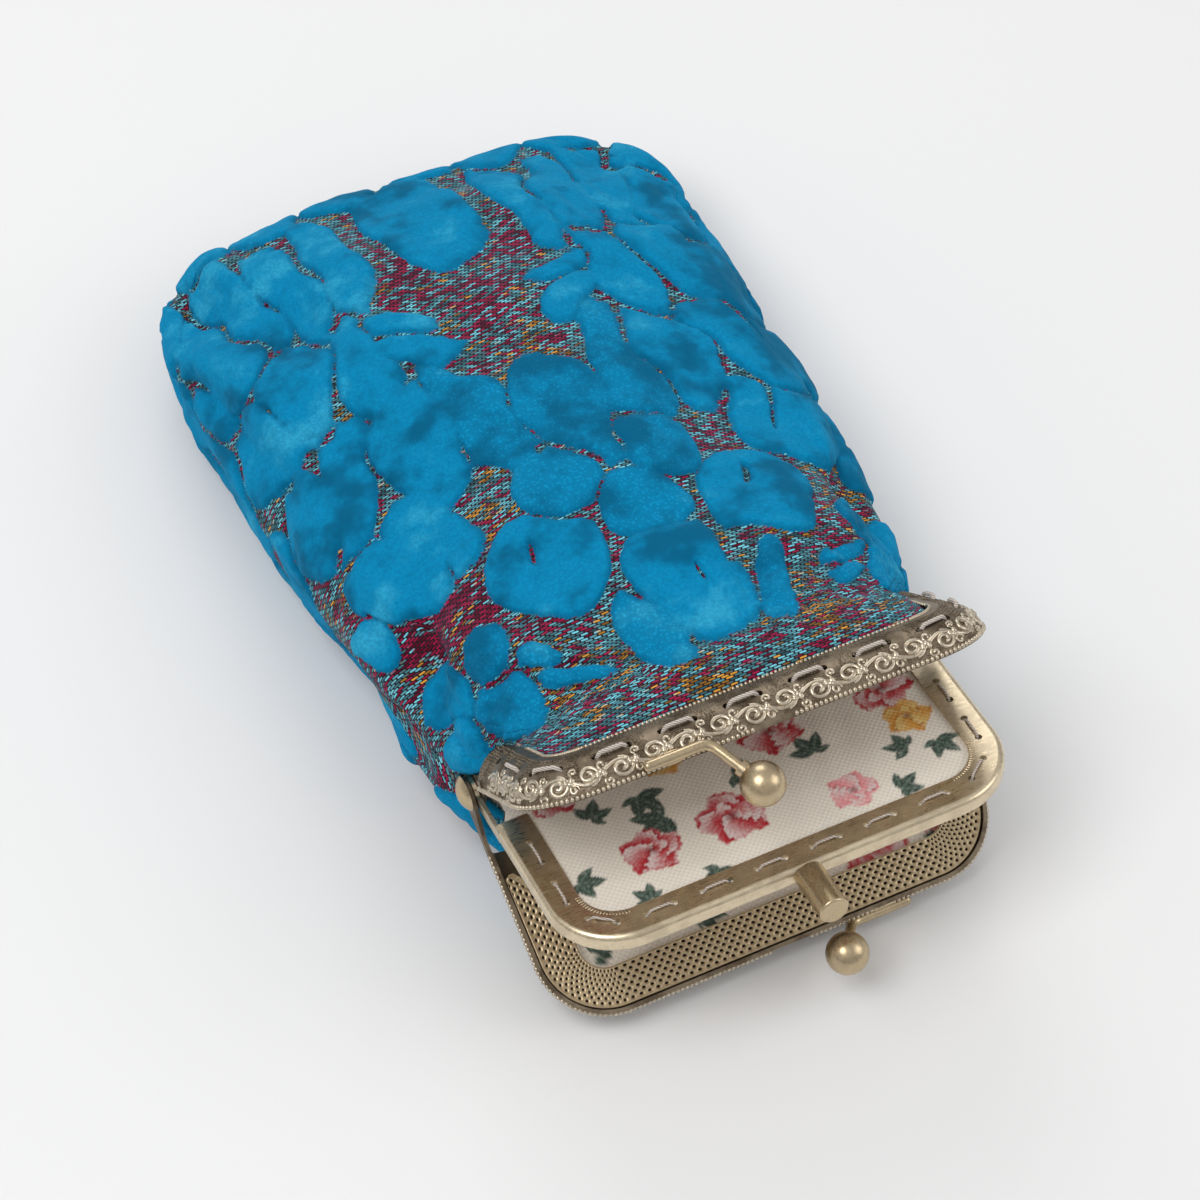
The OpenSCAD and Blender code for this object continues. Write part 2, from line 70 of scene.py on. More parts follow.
# ---------- the frame's own sizes, in mm, as the part's source has them ----------
FRAME_HALF = 47.4
MIDDLE_HALF = 46.4
LEG = 49.2
CORNER = 14.0
EAR = 12.0
CHANNEL_H = 7.0
CROWN_R = 8.0
CHANNEL_W = 8.6
CLOSING_Z = 2.2
CROWN_CENTRE = CLOSING_Z + (CHANNEL_H - CROWN_R)
CHANNEL_TOP = CLOSING_Z + CHANNEL_H
HINGE_Z = HINGE[2] / MM
FRONT, MIDDLE, BACK = 1, 0, -1
TILT = {FRONT: 46.6, MIDDLE: 11.7, BACK: -23.9}
HOLE_ANGLE = math.radians(57)
OUTER_PITCH = 6.5
MIDDLE_PITCH = 5.6
MIDDLE_HOLE_INSET = 3.9
MIDDLE_H = 4.0
STRIP_Z = CLOSING_Z + 1.0
BAG_LEN = 150.0
MOUTH_HALF = 47.0
FLARE = 9.5
BAG_CORNER = 22.0
RISE = 31.0
RISE_END = 18.0
BOTTOM_Z = 14.0
ROUND_FROM = 0.72
HOOD_INSET = 9.1

BODY = {FRONT: "front_leaf", MIDDLE: "root", BACK: "back_leaf"}
SIDE_NAME = {FRONT: "front", BACK: "back"}

# The bag's fabric: where it starts and ends round the hood, and the arch it makes at the hinge.
HOOD_START = 0.04
HOOD_SPAN = 0.92
ARCH_HALF = 43.0
ARCH_LOW = 4.2
MOUTH_SHARES = (1.0, 0.86, 0.7, 0.54, 0.38, 0.22)
BAG_ROWS = (5.0, *range(14, 134, 8), 138.0, 143.0, 147.0, 149.0, 150.0)


# ---------- places ----------


def to_frame(points):
    """Hinge-frame millimetres to the row frame in metres."""
    return np.asarray(points, float) * MM + np.array([0.0, HINGE[1], 0.0])


def stack(x, y, z):
    return np.stack(np.broadcast_arrays(x, y, z), -1).astype(float)


def away(leaf):
    """The sign that turns a leaf's up away from the middle frame."""
    return -1 if leaf == BACK else 1


def on_leaf(leaf, x, out, up):
    """A place on a leaf: x across, out towards the mouth, up away from the middle of the frame."""
    a = math.radians(TILT[leaf])
    w = up * away(leaf)
    y = -out * math.cos(a) + w * math.sin(a)
    return stack(x, y, HINGE_Z + out * math.sin(a) + w * math.cos(a))


def under_crown(leaf, points, most):
    """The same points, kept below a height inside a leaf's channel."""
    a = math.radians(TILT[leaf])
    y, z = points[..., 1], points[..., 2] - HINGE_Z
    out = z * math.sin(a) - y * math.cos(a)
    up = (z * math.cos(a) + y * math.sin(a)) * away(leaf)
    return on_leaf(leaf, points[..., 0], out, np.minimum(up, most))


def leaf_direction(leaf, x, out, up):
    return on_leaf(leaf, x, out, up) - np.array([0.0, 0.0, HINGE_Z])


def path_length(half, inset):
    return 2 * (LEG - CORNER - EAR) + math.pi * (CORNER - inset) + 2 * (half - CORNER)


def along_path(half, inset, s):
    """Across, out, and the inward direction at distance s round a frame."""
    leg = LEG - CORNER - EAR
    total = path_length(half, inset)
    s = np.asarray(s, float)
    m = np.minimum(s, total - s)
    turn = np.clip((m - leg) / (CORNER - inset), 0, math.pi / 2)
    over = np.maximum(0, m - leg - math.pi / 2 * (CORNER - inset))
    hand = np.where(s > total / 2, -1.0, 1.0)
    x = -half + inset + (CORNER - inset) * (1 - np.cos(turn)) + over
    out = EAR + np.minimum(m, leg) + (CORNER - inset) * np.sin(turn)
    return x * hand, out, np.cos(turn) * hand, -np.sin(turn)


def round_frame(leaf, half, s, inset, up):
    """Points carried round a frame at an inset and a height, s measured along its outline."""
    x, out, ix, io = along_path(half, 0.0, s)
    return on_leaf(leaf, x + ix * inset, out + io * inset, up)


def band_place(leaf, s, angle, lift=0.0):
    """A point on the rounded band, and the band's outward normal there."""
    x, out, ix, io = along_path(FRAME_HALF, 0.0, s)
    r = CROWN_R + lift
    inset = CROWN_R - r * np.cos(angle)
    up = CROWN_CENTRE + r * np.sin(angle)
    place = on_leaf(leaf, x + ix * inset, out + io * inset, up)
    normal = leaf_direction(leaf, -ix * np.cos(angle), -io * np.cos(angle), np.sin(angle) + 0 * ix)
    along = np.cross(normal, leaf_direction(leaf, -ix * np.sin(angle), -io * np.sin(angle), -np.cos(angle)))
    return place, normal, along


def hole_distances(half, inset, pitch):
    total = path_length(half, inset)
    count = math.floor((total - pitch) / pitch)
    return total / 2 + (np.arange(count) - (count - 1) / 2) * pitch


# ---------- the bag's surfaces ----------


def seam_height(y):
    return HINGE_Z + (BOTTOM_Z - HINGE_Z) * y / BAG_LEN


def half_width(y):
    over = np.maximum(0, y - BAG_LEN + BAG_CORNER)
    corner = BAG_CORNER - np.sqrt(np.maximum(0, BAG_CORNER**2 - over**2))
    return MOUTH_HALF + FLARE * np.sin(np.pi / 2 * np.clip(y / BAG_LEN / 0.7, -1, 1)) - corner


def bag_rise(y, side):
    u = np.maximum(0, (y / BAG_LEN - ROUND_FROM) / (1 - ROUND_FROM))
    full = RISE + (RISE_END - RISE) * y / BAG_LEN if side == FRONT else seam_height(y) + 1
    return full * np.maximum(0, 1 - u**2.2) ** (1 / 2.2)


def signed_power(a, e):
    return np.abs(a) ** e * np.sign(a)


def squareness(side):
    return 2 / (2.3 if side == FRONT else 3.4)


def bag_row(side, t, y):
    e = squareness(side)
    a = np.pi * (1 - t)
    return stack(
        half_width(y) * signed_power(np.cos(a), e),
        y,
        seam_height(y) + side * (0.1 + bag_rise(y, side) * np.sin(a) ** e),
    )


def round_hood(t):
    """The path of the hood's edge at shares t of the part that holds fabric."""
    total = path_length(FRAME_HALF, HOOD_INSET)
    return along_path(FRAME_HALF, HOOD_INSET, total * (HOOD_START + HOOD_SPAN * t))


def mouth_row(side, t, s):
    """A row of the fabric between the hinge arch, s = 0, and the frame, s = 1."""
    e = squareness(side)
    a = np.pi * (1 - t)
    top = bag_rise(0.0, side) - 1.5
    arch_z = HINGE_Z + side * (ARCH_LOW + (top - ARCH_LOW) * np.sin(a) ** e)
    arch = stack(ARCH_HALF * signed_power(np.cos(a), e), -1.0, arch_z)
    x, out, _, _ = round_hood(t)
    rim = on_leaf(side, x, out, CHANNEL_TOP - 0.6)
    swell = (2.5 if side == FRONT else 0.8) * 4 * s * (1 - s) * np.sin(a)
    return arch + (rim - arch) * s + stack(0 * swell, -swell * 0.4, side * swell)


def tucked_row(side, t):
    """The row inside the channel, under its crown."""
    x, out, ix, io = round_hood(t)
    return on_leaf(side, x - ix * 2.2, out - io * 2.2, CHANNEL_TOP - 1.5)


def spline_matrix(n_in, n_out):
    """Weights that carry n_in evenly spaced rows to n_out rows on a Catmull-Rom curve."""
    at = np.linspace(0, n_in - 1, n_out)
    k = np.minimum(at.astype(int), n_in - 2)
    f = at - k
    weights = np.zeros((n_out, n_in))
    parts = (
        (-1, -0.5 * f + f**2 - 0.5 * f**3),
        (0, 1 - 2.5 * f**2 + 1.5 * f**3),
        (1, 0.5 * f + 2 * f**2 - 1.5 * f**3),
        (2, -0.5 * f**2 + 0.5 * f**3),
    )
    for step, w in parts:
        np.add.at(weights, (np.arange(n_out), np.clip(k + step, 0, n_in - 1)), w)
    return weights


def finer(grid, rows, cols):
    down = spline_matrix(grid.shape[0], rows)
    across = spline_matrix(grid.shape[1], cols)
    return np.einsum("ri,ijk,cj->rck", down, grid, across)


def even_rows(rows, count):
    """The rows again, evenly spaced down each column."""
    rows = np.array(rows)
    fine = finer(rows, 6 * len(rows), rows.shape[1])
    steps = np.linalg.norm(np.diff(fine, axis=0), axis=2)
    far = np.concatenate([np.zeros((1, fine.shape[1])), np.cumsum(steps, axis=0)])
    mean = far.mean(axis=1)
    at = np.interp(np.linspace(0, mean[-1], count), mean, np.arange(len(mean)))
    k = np.minimum(at.astype(int), len(mean) - 2)
    f = (at - k)[:, None, None]
    return fine[k] * (1 - f) + fine[k + 1] * f


CAGE_ROWS = 81
CAGE_COLS = 73
FINE = 4


def panel_cage(side):
    """The outer surface of one pocket as a grid, from inside its channel to the bottom seam."""
    t = np.linspace(0, 1, CAGE_COLS)
    rows = [tucked_row(side, t)]
    rows += [mouth_row(side, t, s) for s in MOUTH_SHARES]
    rows += [bag_row(side, t, float(y)) for y in BAG_ROWS]
    return even_rows(rows, CAGE_ROWS)


def finer_size(step):
    """Rows and columns of a cage with each of its faces cut by step both ways."""
    return step * (CAGE_ROWS - 1) + 1, step * (CAGE_COLS - 1) + 1


def grid_normals(grid):
    down = np.gradient(grid, axis=0)
    across = np.gradient(grid, axis=1)
    n = np.cross(across, down)
    size = np.linalg.norm(n, axis=2, keepdims=True)
    return n / np.maximum(size, 1e-9)


def cloth_measure(grid):
    """Across and down distances on the cloth, in mm, across measured from the middle."""
    across = np.linalg.norm(np.diff(grid, axis=1), axis=2)
    u = np.concatenate([np.zeros((len(grid), 1)), np.cumsum(across, axis=1)], axis=1)
    u -= u[:, [grid.shape[1] // 2]]
    middle = grid[:, grid.shape[1] // 2]
    v = np.concatenate([[0], np.cumsum(np.linalg.norm(np.diff(middle, axis=0), axis=1))])
    return u, np.broadcast_to(v[:, None], u.shape)


# ---------- meshes ----------


def mesh_object(name, points, faces, edges=()):
    mesh = bpy.data.meshes.new(name)
    mesh.from_pydata(to_frame(points).tolist(), list(edges), faces)
    mesh.update()
    obj = bpy.data.objects.new(name, mesh)
    bpy.context.scene.collection.objects.link(obj)
    if faces:
        mesh.shade_smooth()
    return obj


def add_attribute(mesh, name, kind, values):
    attribute = mesh.attributes.new(name, kind, "POINT")
    field = {"FLOAT": "value", "FLOAT_VECTOR": "vector", "FLOAT_COLOR": "color"}[kind]
    attribute.data.foreach_set(field, np.asarray(values, np.float32).ravel())


def add_uv(mesh, u, v):
    """A cloth map in centimetres, given point by point."""
    corner = np.zeros(len(mesh.loops), np.int32)
    mesh.loops.foreach_get("vertex_index", corner)
    layer = mesh.uv_layers.new(name="cloth")
    uv = np.stack([np.asarray(u).ravel()[corner], np.asarray(v).ravel()[corner]], 1) / 10
    layer.data.foreach_set("uv", uv.astype(np.float32).ravel())


def grid_faces(rows, cols, start=0, flip=False):
    a = (np.arange(rows - 1)[:, None] * cols + np.arange(cols - 1)).ravel() + start
    quads = np.stack([a, a + cols, a + cols + 1, a + 1], 1)
    return (quads[:, ::-1] if flip else quads).tolist()


def rim_of(rows, cols, step):
    """Row and column of every step-th place round the edge of a grid, in order."""
    top = [(0, c) for c in range(0, cols - 1, step)]
    right = [(r, cols - 1) for r in range(0, rows - 1, step)]
    bottom = [(rows - 1, c) for c in range(cols - 1, 0, -step)]
    left = [(r, 0) for r in range(rows - 1, 0, -step)]
    return top + right + bottom + left


def shell(name, fine, coarse, flip):
    """A closed piece with a fine outer grid and a coarse inner one, joined round the edge."""
    fr, fc = fine.shape[:2]
    cr, cc = coarse.shape[:2]
    step = (fr - 1) // (cr - 1)
    start = fr * fc
    faces = grid_faces(fr, fc, 0, flip) + grid_faces(cr, cc, start, not flip)
    rim = rim_of(fr, fc, 1)
    for (r0, c0), (r1, c1) in zip(rim, rim[1:] + rim[:1]):
        a, b = r0 * fc + c0, r1 * fc + c1
        in_a = start + round(r0 / step) * cc + round(c0 / step)
        in_b = start + round(r1 / step) * cc + round(c1 / step)
        face = [a, b, in_a] if in_a == in_b else [a, b, in_b, in_a]
        faces.append(face[::-1] if flip else face)
    return mesh_object(name, np.concatenate([fine.reshape(-1, 3), coarse.reshape(-1, 3)]), faces)


# ---------- node building ----------


class Nodes:
    """Short calls for adding and joining nodes in one tree."""

    def __init__(self, tree):
        self.tree = tree

    def add(self, kind, settings=None, **inputs):
        node = self.tree.nodes.new(kind)
        for key, value in (settings or {}).items():
            setattr(node, key, value)
        for key, value in inputs.items():
            self.join(value, self.socket(node, key))
        return node

    @staticmethod
    def socket(node, key):
        if key.startswith("i") and key[1:].isdigit():
            return node.inputs[int(key[1:])]
        return node.inputs[key.replace("_", " ")]

    def join(self, value, socket):
        if isinstance(value, bpy.types.NodeSocket):
            self.tree.links.new(value, socket)
        elif isinstance(value, bpy.types.Node):
            self.tree.links.new(value.outputs[0], socket)
        else:
            socket.default_value = value

    def math(self, operation, a, b=0.0, c=0.0, clamp=False):
        settings = {"operation": operation, "use_clamp": clamp}
        return self.add("ShaderNodeMath", settings, i0=a, i1=b, i2=c).outputs[0]

    def mix(self, share, a, b, blend="MIX"):
        settings = {"data_type": "RGBA", "blend_type": blend}
        return self.add("ShaderNodeMix", settings, i0=share, i6=a, i7=b).outputs[2]

    def step(self, value, low, high, to_low=0.0, to_high=1.0):
        settings = {"interpolation_type": "SMOOTHSTEP"}
        limits = {"i1": low, "i2": high, "i3": to_low, "i4": to_high}
        return self.add("ShaderNodeMapRange", settings, i0=value, **limits).outputs[0]

    def noise(self, where, scale, detail=2.0, rough=0.5):
        grain = {"Scale": scale, "Detail": detail, "Roughness": rough}
        return self.add("ShaderNodeTexNoise", None, Vector=where, **grain).outputs[0]

    def place(self):
        return self.add("ShaderNodeTexCoord").outputs["Object"]

    def cloth(self):
        return self.add("ShaderNodeUVMap", {"uv_map": "cloth"}).outputs[0]

    def attribute(self, name, output="Fac"):
        return self.add("ShaderNodeAttribute", {"attribute_name": name}).outputs[output]


def shader_group(name, ins, outs):
    group = bpy.data.node_groups.new(name, "ShaderNodeTree")
    for label, kind, default in ins:
        socket = group.interface.new_socket(label, in_out="INPUT", socket_type=kind)
        if default is not None:
            socket.default_value = default
    for label, kind in outs:
        group.interface.new_socket(label, in_out="OUTPUT", socket_type=kind)
    n = Nodes(group)
    return group, n, n.add("NodeGroupInput"), n.add("NodeGroupOutput")


FLOAT, VECTOR, COLOR = "NodeSocketFloat", "NodeSocketVector", "NodeSocketColor"


def floats_group():
    """Rows of thread floats, like dashes: their height, a random value each, and the gaps between."""
    group, n, gi, go = shader_group(
        "Pouch Floats",
        [("Cloth", VECTOR, None), ("Length", FLOAT, 0.2), ("Row", FLOAT, 0.05), ("Lean", FLOAT, 0.38)],
        [("Height", FLOAT), ("Random", FLOAT), ("Tint", COLOR)],
    )
    xy = n.add("ShaderNodeSeparateXYZ", None, i0=gi.outputs["Cloth"])
    rows = n.math("DIVIDE", xy.outputs[1], gi.outputs["Row"])
    row = n.math("FLOOR", rows)
    slid = n.math("MULTIPLY", row, gi.outputs["Lean"])
    cells = n.math("ADD", n.math("DIVIDE", xy.outputs[0], gi.outputs["Length"]), slid)
    cell = n.math("FLOOR", cells)
    across = n.math("FRACT", rows)
    off_middle = n.math("ABSOLUTE", n.math("MULTIPLY_ADD", across, 2.0, -1.0))
    crest = n.math("SUBTRACT", 1.0, n.math("POWER", off_middle, 2.0))
    part = n.math("FRACT", cells)
    ends = n.math("MULTIPLY", n.math("MINIMUM", part, n.math("SUBTRACT", 1.0, part)), 5.0, clamp=True)
    seed = n.add("ShaderNodeCombineXYZ", None, i0=cell, i1=row)
    white = n.add("ShaderNodeTexWhiteNoise", {"noise_dimensions": "2D"}, Vector=seed)
    n.join(n.math("MULTIPLY", crest, ends), go.inputs["Height"])
    n.join(white.outputs["Value"], go.inputs["Random"])
    n.join(white.outputs["Color"], go.inputs["Tint"])
    return group


def plain_weave_group():
    """Over-and-under height of a plain weave."""
    group, n, gi, go = shader_group(
        "Pouch Plain Weave",
        [("Cloth", VECTOR, None), ("Threads", FLOAT, 22.0)],
        [("Height", FLOAT), ("Shade", FLOAT)],
    )
    xy = n.add("ShaderNodeSeparateXYZ", None, i0=gi.outputs["Cloth"])
    turns = n.math("MULTIPLY", gi.outputs["Threads"], math.pi)
    sx = n.math("SINE", n.math("MULTIPLY", xy.outputs[0], turns))
    sy = n.math("SINE", n.math("MULTIPLY", xy.outputs[1], turns))
    height = n.math("MULTIPLY_ADD", n.math("MULTIPLY", sx, sy), 0.5, 0.5)
    n.join(height, go.inputs["Height"])
    wobble = n.noise(gi.outputs["Cloth"], 60.0, 3.0)
    n.join(n.math("MULTIPLY_ADD", height, 0.3, n.math("MULTIPLY", wobble, 0.7)), go.inputs["Shade"])
    return group


def wear_group():
    """Brown patina and rubbed patches on brass, and a fine grain for its bump."""
    group, n, gi, go = shader_group(
        "Pouch Wear",
        [
            ("Place", VECTOR, None),
            ("Patch Size", FLOAT, 180.0),
            ("Grain Size", FLOAT, 1600.0),
            ("Streak", FLOAT, 1.0),
        ],
        [("Patina", FLOAT), ("Grain", FLOAT)],
    )
    patch = n.noise(gi.outputs["Place"], gi.outputs["Patch Size"], 5.0, 0.65)
    n.join(n.step(patch, 0.36, 0.66), go.inputs["Patina"])
    stretch = n.add("ShaderNodeCombineXYZ", None, i0=gi.outputs["Streak"], i1=1.0, i2=1.0)
    drawn = n.add("ShaderNodeVectorMath", {"operation": "MULTIPLY"}, i0=gi.outputs["Place"], i1=stretch)
    n.join(n.noise(drawn.outputs[0], gi.outputs["Grain Size"], 4.0, 0.6), go.inputs["Grain"])
    return group


def built_once(name, make):
    """A node group or tree by its name, made on the first call."""
    return bpy.data.node_groups.get(name) or make()


def new_material(name):
    mat = bpy.data.materials.new(name)
    mat.use_nodes = True
    n = Nodes(mat.node_tree)
    return mat, n, mat.node_tree.nodes["Principled BSDF"]


def use_group(n, name, make, **inputs):
    node = n.add("ShaderNodeGroup")
    node.node_tree = built_once(name, make)
    for key, value in inputs.items():
        n.join(value, node.inputs[key.replace("_", " ")])
    return node


def set_plain(surface, **values):
    """Sets inputs that are the same all over the surface."""
    for key, value in values.items():
        surface.inputs[key.replace("_", " ")].default_value = value


def toned(colour, share):
    """A colour made darker, or lighter with a share over 1, with full alpha."""
    return tuple(c * share for c in colour[:3]) + (1.0,)


def add_bump(n, surface, height, strength, distance):
    bump = n.add("ShaderNodeBump", None, Strength=strength, Distance=distance, Height=height)
    n.join(bump.outputs[0], surface.inputs["Normal"])


# ---------- properties ----------


def colour_property(name, text, default):
    return bpy.props.FloatVectorProperty(
        name=name, description=text, subtype="COLOR", size=4, min=0, max=1, default=(*default, 1.0)
    )


def length_property(name, text, default):
    return bpy.props.FloatProperty(
        name=name, description=text, default=default * MM, min=0, unit="LENGTH", precision=5
    )


def angle_property(name, text, degrees):
    return bpy.props.FloatProperty(
        name=name, description=text, default=math.radians(degrees), subtype="ANGLE"
    )


class PouchFabric(bpy.types.PropertyGroup):
    pile_height: length_property("Pile height", "Height of the cut pile above its ground", 1.35)
    loop_height: length_property("Loop height", "Height of the grainy loop pile", 0.95)
    pile: colour_property("Pile", "Colour of the velvet pile", (0.002, 0.245, 0.480))
    # Lit and shaded copies of the pile colour: painted shade and painted sheen.
    pile_painted_shade: colour_property("Deep pile", "Pile brushed away from the light", (0.001, 0.110, 0.225))
    pile_painted_sheen: colour_property("Light pile", "Pile brushed towards the light", (0.030, 0.370, 0.600))
    ground_blue: colour_property("Blue float", "Teal floats of the ground weave", (0.160, 0.520, 0.620))
    ground_dark: colour_property("Warp", "Dark warp between the floats", (0.020, 0.010, 0.014))
    crimson: colour_property("Crimson float", "Crimson floats of the ground weave", (0.300, 0.008, 0.050))
    gold: colour_property("Gold float", "Orange-yellow floats of the ground weave", (0.640, 0.290, 0.035))
    cotton: colour_property("Cotton", "Ground of the printed lining", (0.880, 0.815, 0.710))
    fullness: bpy.props.FloatProperty(
        name="Fullness", description="How hard the padding presses the velvet out", default=1.2, min=0, max=6
    )
    slack: bpy.props.FloatProperty(
        name="Slack", description="Share of spare cloth that folds", default=0.035, min=0, max=0.1
    )


class PouchMetal(bpy.types.PropertyGroup):
    bead_radius: length_property("Bead radius", "Radius of the beads at the closing edge", 0.52)
    bead_pitch: length_property("Bead pitch", "Spacing of the beads at the closing edge", 0.98)
    fine_radius: length_property("Fine bead radius", "Radius of the beads at the fabric edge", 0.4)
    fine_pitch: length_property("Fine bead pitch", "Spacing of the beads at the fabric edge", 0.86)
    scroll_radius: length_property("Scroll radius", "Half thickness of the raised scrolls", 0.48)
    thread_radius: length_property("Thread radius", "Half thickness of the sewing thread", 0.42)
    raised: colour_property("Raised brass", "Rubbed high spots of the antique brass", (0.840, 0.745, 0.590))
    patina: colour_property("Patina", "Brown patina in the hollows", (0.055, 0.036, 0.020))
    antique: colour_property("Antique brass", "Ground of the antique brass", (0.330, 0.265, 0.190))
    bright: colour_property("Bright brass", "Drawn brass of the middle frame", (0.850, 0.745, 0.560))
    pale: colour_property("Pale brass", "Satin brass of arms, balls and post", (0.600, 0.475, 0.300))


class PouchStage(bpy.types.PropertyGroup):
    azimuth: angle_property("Azimuth", "Turn of the camera about the pouch", -25.08)
    elevation: angle_property("Elevation", "Height of the camera above level", 54.74)
    distance: bpy.props.FloatProperty(
        name="Distance", description="Camera to its target", default=0.73552, unit="LENGTH"
    )
    focal: bpy.props.FloatProperty(
        name="Focal length", description="Lens in millimetres", default=113.3, min=10
    )
    floor: colour_property("Floor", "Colour of the floor", (0.815, 0.815, 0.815))


# ---------- stage ----------

# The camera's target from the hinge, down the bag and up, then its shift right and up, in metres.
AIM_DOWN_BAG = 0.040
AIM_UP = 0.00983
SHIFT_RIGHT = -0.00073
SHIFT_UP = -0.01524
FLOOR_HALF = 2000.0
LOW_SKY = (0.42, 0.42, 0.43, 1)
HIGH_SKY = (0.62, 0.62, 0.62, 1)
# Each lamp's name, place and size in metres, and power in watts.
LAMPS = (
    ("key", (-0.5, -0.1, 1.0), 0.55, 5.0),
    ("fill", (0.9, -0.5, 0.7), 0.7, 2.6),
    ("rim", (0.2, 1.0, 0.8), 0.6, 3.0),
)


class POUCH_OT_stage(bpy.types.Operator):
    """Makes the floor, the soft lights and the camera"""

    bl_idname = "pouch.stage"
    bl_label = "Stage"

    def execute(self, context):
        stage = context.scene.pouch_stage
        a, e = stage.azimuth, stage.elevation
        back = Vector((math.sin(a) * math.cos(e), -math.cos(a) * math.cos(e), math.sin(e)))
        right = Vector((math.cos(a), math.sin(a), 0))
        up = back.cross(right)
        aim = Vector((0, HINGE[1] + AIM_DOWN_BAG, HINGE[2] + AIM_UP))
        aim = aim + right * SHIFT_RIGHT + up * SHIFT_UP
        camera = bpy.data.objects.new("camera", bpy.data.cameras.new("camera"))
        camera.data.lens = stage.focal
        camera.data.sensor_width = 36
        camera.data.clip_start, camera.data.clip_end = 0.01, 10
        camera.location = aim + back * stage.distance
        camera.rotation_euler = back.to_track_quat("Z", "Y").to_euler()
        context.scene.collection.objects.link(camera)
        context.scene.camera = camera
        context.scene.view_settings.view_transform = "Standard"
        self.floor(stage)
        self.lights(context)
        return {"FINISHED"}

    @staticmethod
    def floor(stage):
        corners = ((-1, -1), (1, -1), (1, 1), (-1, 1))
        points = [[FLOOR_HALF * x, FLOOR_HALF * y, 0] for x, y in corners]
        floor = mesh_object("floor", points, [[0, 1, 2, 3]])
        mat, n, surface = new_material("floor")
        shade = n.mix(n.noise(n.place(), 3.0), tuple(stage.floor), toned(stage.floor, 1.01))
        n.join(shade, surface.inputs["Base Color"])
        set_plain(surface, Roughness=0.9, Specular_IOR_Level=0.1)
        floor.data.materials.append(mat)

    @staticmethod
    def lights(context):
        world = context.scene.world or bpy.data.worlds.new("studio")
        context.scene.world = world
        world.use_nodes = True
        n = Nodes(world.node_tree)
        sky = n.add("ShaderNodeSeparateXYZ", None, i0=n.add("ShaderNodeTexCoord").outputs["Generated"])
        background = world.node_tree.nodes["Background"]
        n.join(n.mix(n.step(sky.outputs[2], 0.0, 0.85), LOW_SKY, HIGH_SKY), background.inputs["Color"])
        for name, place, size, power in LAMPS:
            light = bpy.data.objects.new(name, bpy.data.lights.new(name, "AREA"))
            light.data.size, light.data.energy = size, power
            light.location = place
            light.rotation_euler = Vector(place).to_track_quat("Z", "Y").to_euler()
            context.scene.collection.objects.link(light)


# ---------- velvet ----------

# Motifs of the damask, in mm on the cloth. Each is across, down, half length, half width, lean in
# degrees from the down direction, and 1 for loop pile. The paired ones come again mirrored.
MIDDLE_MOTIFS = (
    (0, 31, 17, 11, 0, 0),
    (0, 55, 8, 9, 0, 1),
    (0, 84, 20, 9, 0, 1),
    (0, 160, 25, 10.5, 0, 0),
)
PAIRED_MOTIFS = (
    (22.5, 49, 13.5, 12, 8, 0),
    (11, 69, 9.5, 9, 0, 1),
    (16, 92, 22, 7.5, 6, 1),
    (28, 93, 17.5, 9.5, -8, 0),
    (13, 24, 11, 4.2, 14, 1),
    (47, 68, 13, 10.5, 35, 0),
    (36, 72, 12, 8, 10, 0),
    (45, 93, 20, 6.5, -26, 0),
    (57, 92, 13, 7.5, -12, 0),
    (55, 116, 14, 9.5, 10, 0),
    (44, 122, 17, 7.5, -16, 0),
    (53, 146, 16, 10, 0, 0),
    (62, 135, 13, 5.5, 0, 0),
    (44, 26, 11, 6, 24, 1),
    (41, 39, 7, 4.5, -20, 1),
    (30, 23, 6.5, 2.6, 62, 1),
    (33, 30, 6.5, 2.4, 66, 1),
    (54, 38, 9, 6, 45, 0),
    (60, 60, 7, 6, 0, 0),
    (60, 22, 12, 8, 0, 0),
    (17, 117, 9, 4.6, 62, 0),
    (19, 127, 9, 3.6, 66, 0),
    (29, 122, 18, 6.5, -6, 0),
    (31, 152, 22, 6.2, 4, 0),
    (21, 156, 24, 5.0, 0, 0),
    (43, 158, 22, 7.0, 4, 0),
    (60, 165, 14, 8.0, 0, 0),
    (9, 184, 9, 8.5, 0, 0),
    (26, 183, 9, 8.5, 0, 0),
    (43, 183, 9, 8.5, 0, 0),
    (60, 184, 10, 8.5, 0, 0),
    (70, 150, 14, 7.0, 0, 0),
    (70, 120, 15, 7.0, 0, 0),
    (71, 92, 12, 6.5, 0, 0),
)
# Short slits in the petals, as a motif without its last number.
SLITS = ((3, 34, 2.6, 0.5, 0), (-22, 52, 2.6, 0.5, 0), (23, 55, 2.4, 0.5, 20))
# Where crimson or gold floats gather, as across, down and radius.
CRIMSON_SPOTS = (
    (0, 124, 9), (13, 141, 8), (-13, 141, 8), (-38, 48, 16), (38, 38, 12), (24, 66, 5), (-52, 56, 14)
)
GOLD_SPOTS = ((0, 103, 7), (-26, 66, 6), (-30, 22, 9), (20, 12, 9), (-12, 6, 8), (-56, 68, 9), (50, 52, 8))
# The middle line of the damask: its place across at the channel, and its drift for each mm down.
AXIS_START = 4.0
AXIS_LEAN = -0.03
PETAL_POWER = 2.3


def wavy(u, v, size, seed):
    """Smooth noise from a few fixed waves, about -1 to 1."""
    rng = np.random.default_rng(seed)
    total = np.zeros_like(u)
    for _ in range(7):
        angle = rng.uniform(0, 2 * math.pi)
        phase = rng.uniform(0, 2 * math.pi)
        scale = rng.uniform(0.6, 1.6)
        total += np.sin((u * math.cos(angle) + v * math.sin(angle)) * 2 * math.pi / size * scale + phase)
    return total / 3.2


def turned_about(u, v, across, down, lean):
    """Places on the cloth measured from a middle and along a lean in degrees."""
    a = math.radians(lean)
    du, dv = u - across, v - down
    return du * math.cos(a) - dv * math.sin(a), du * math.sin(a) + dv * math.cos(a)


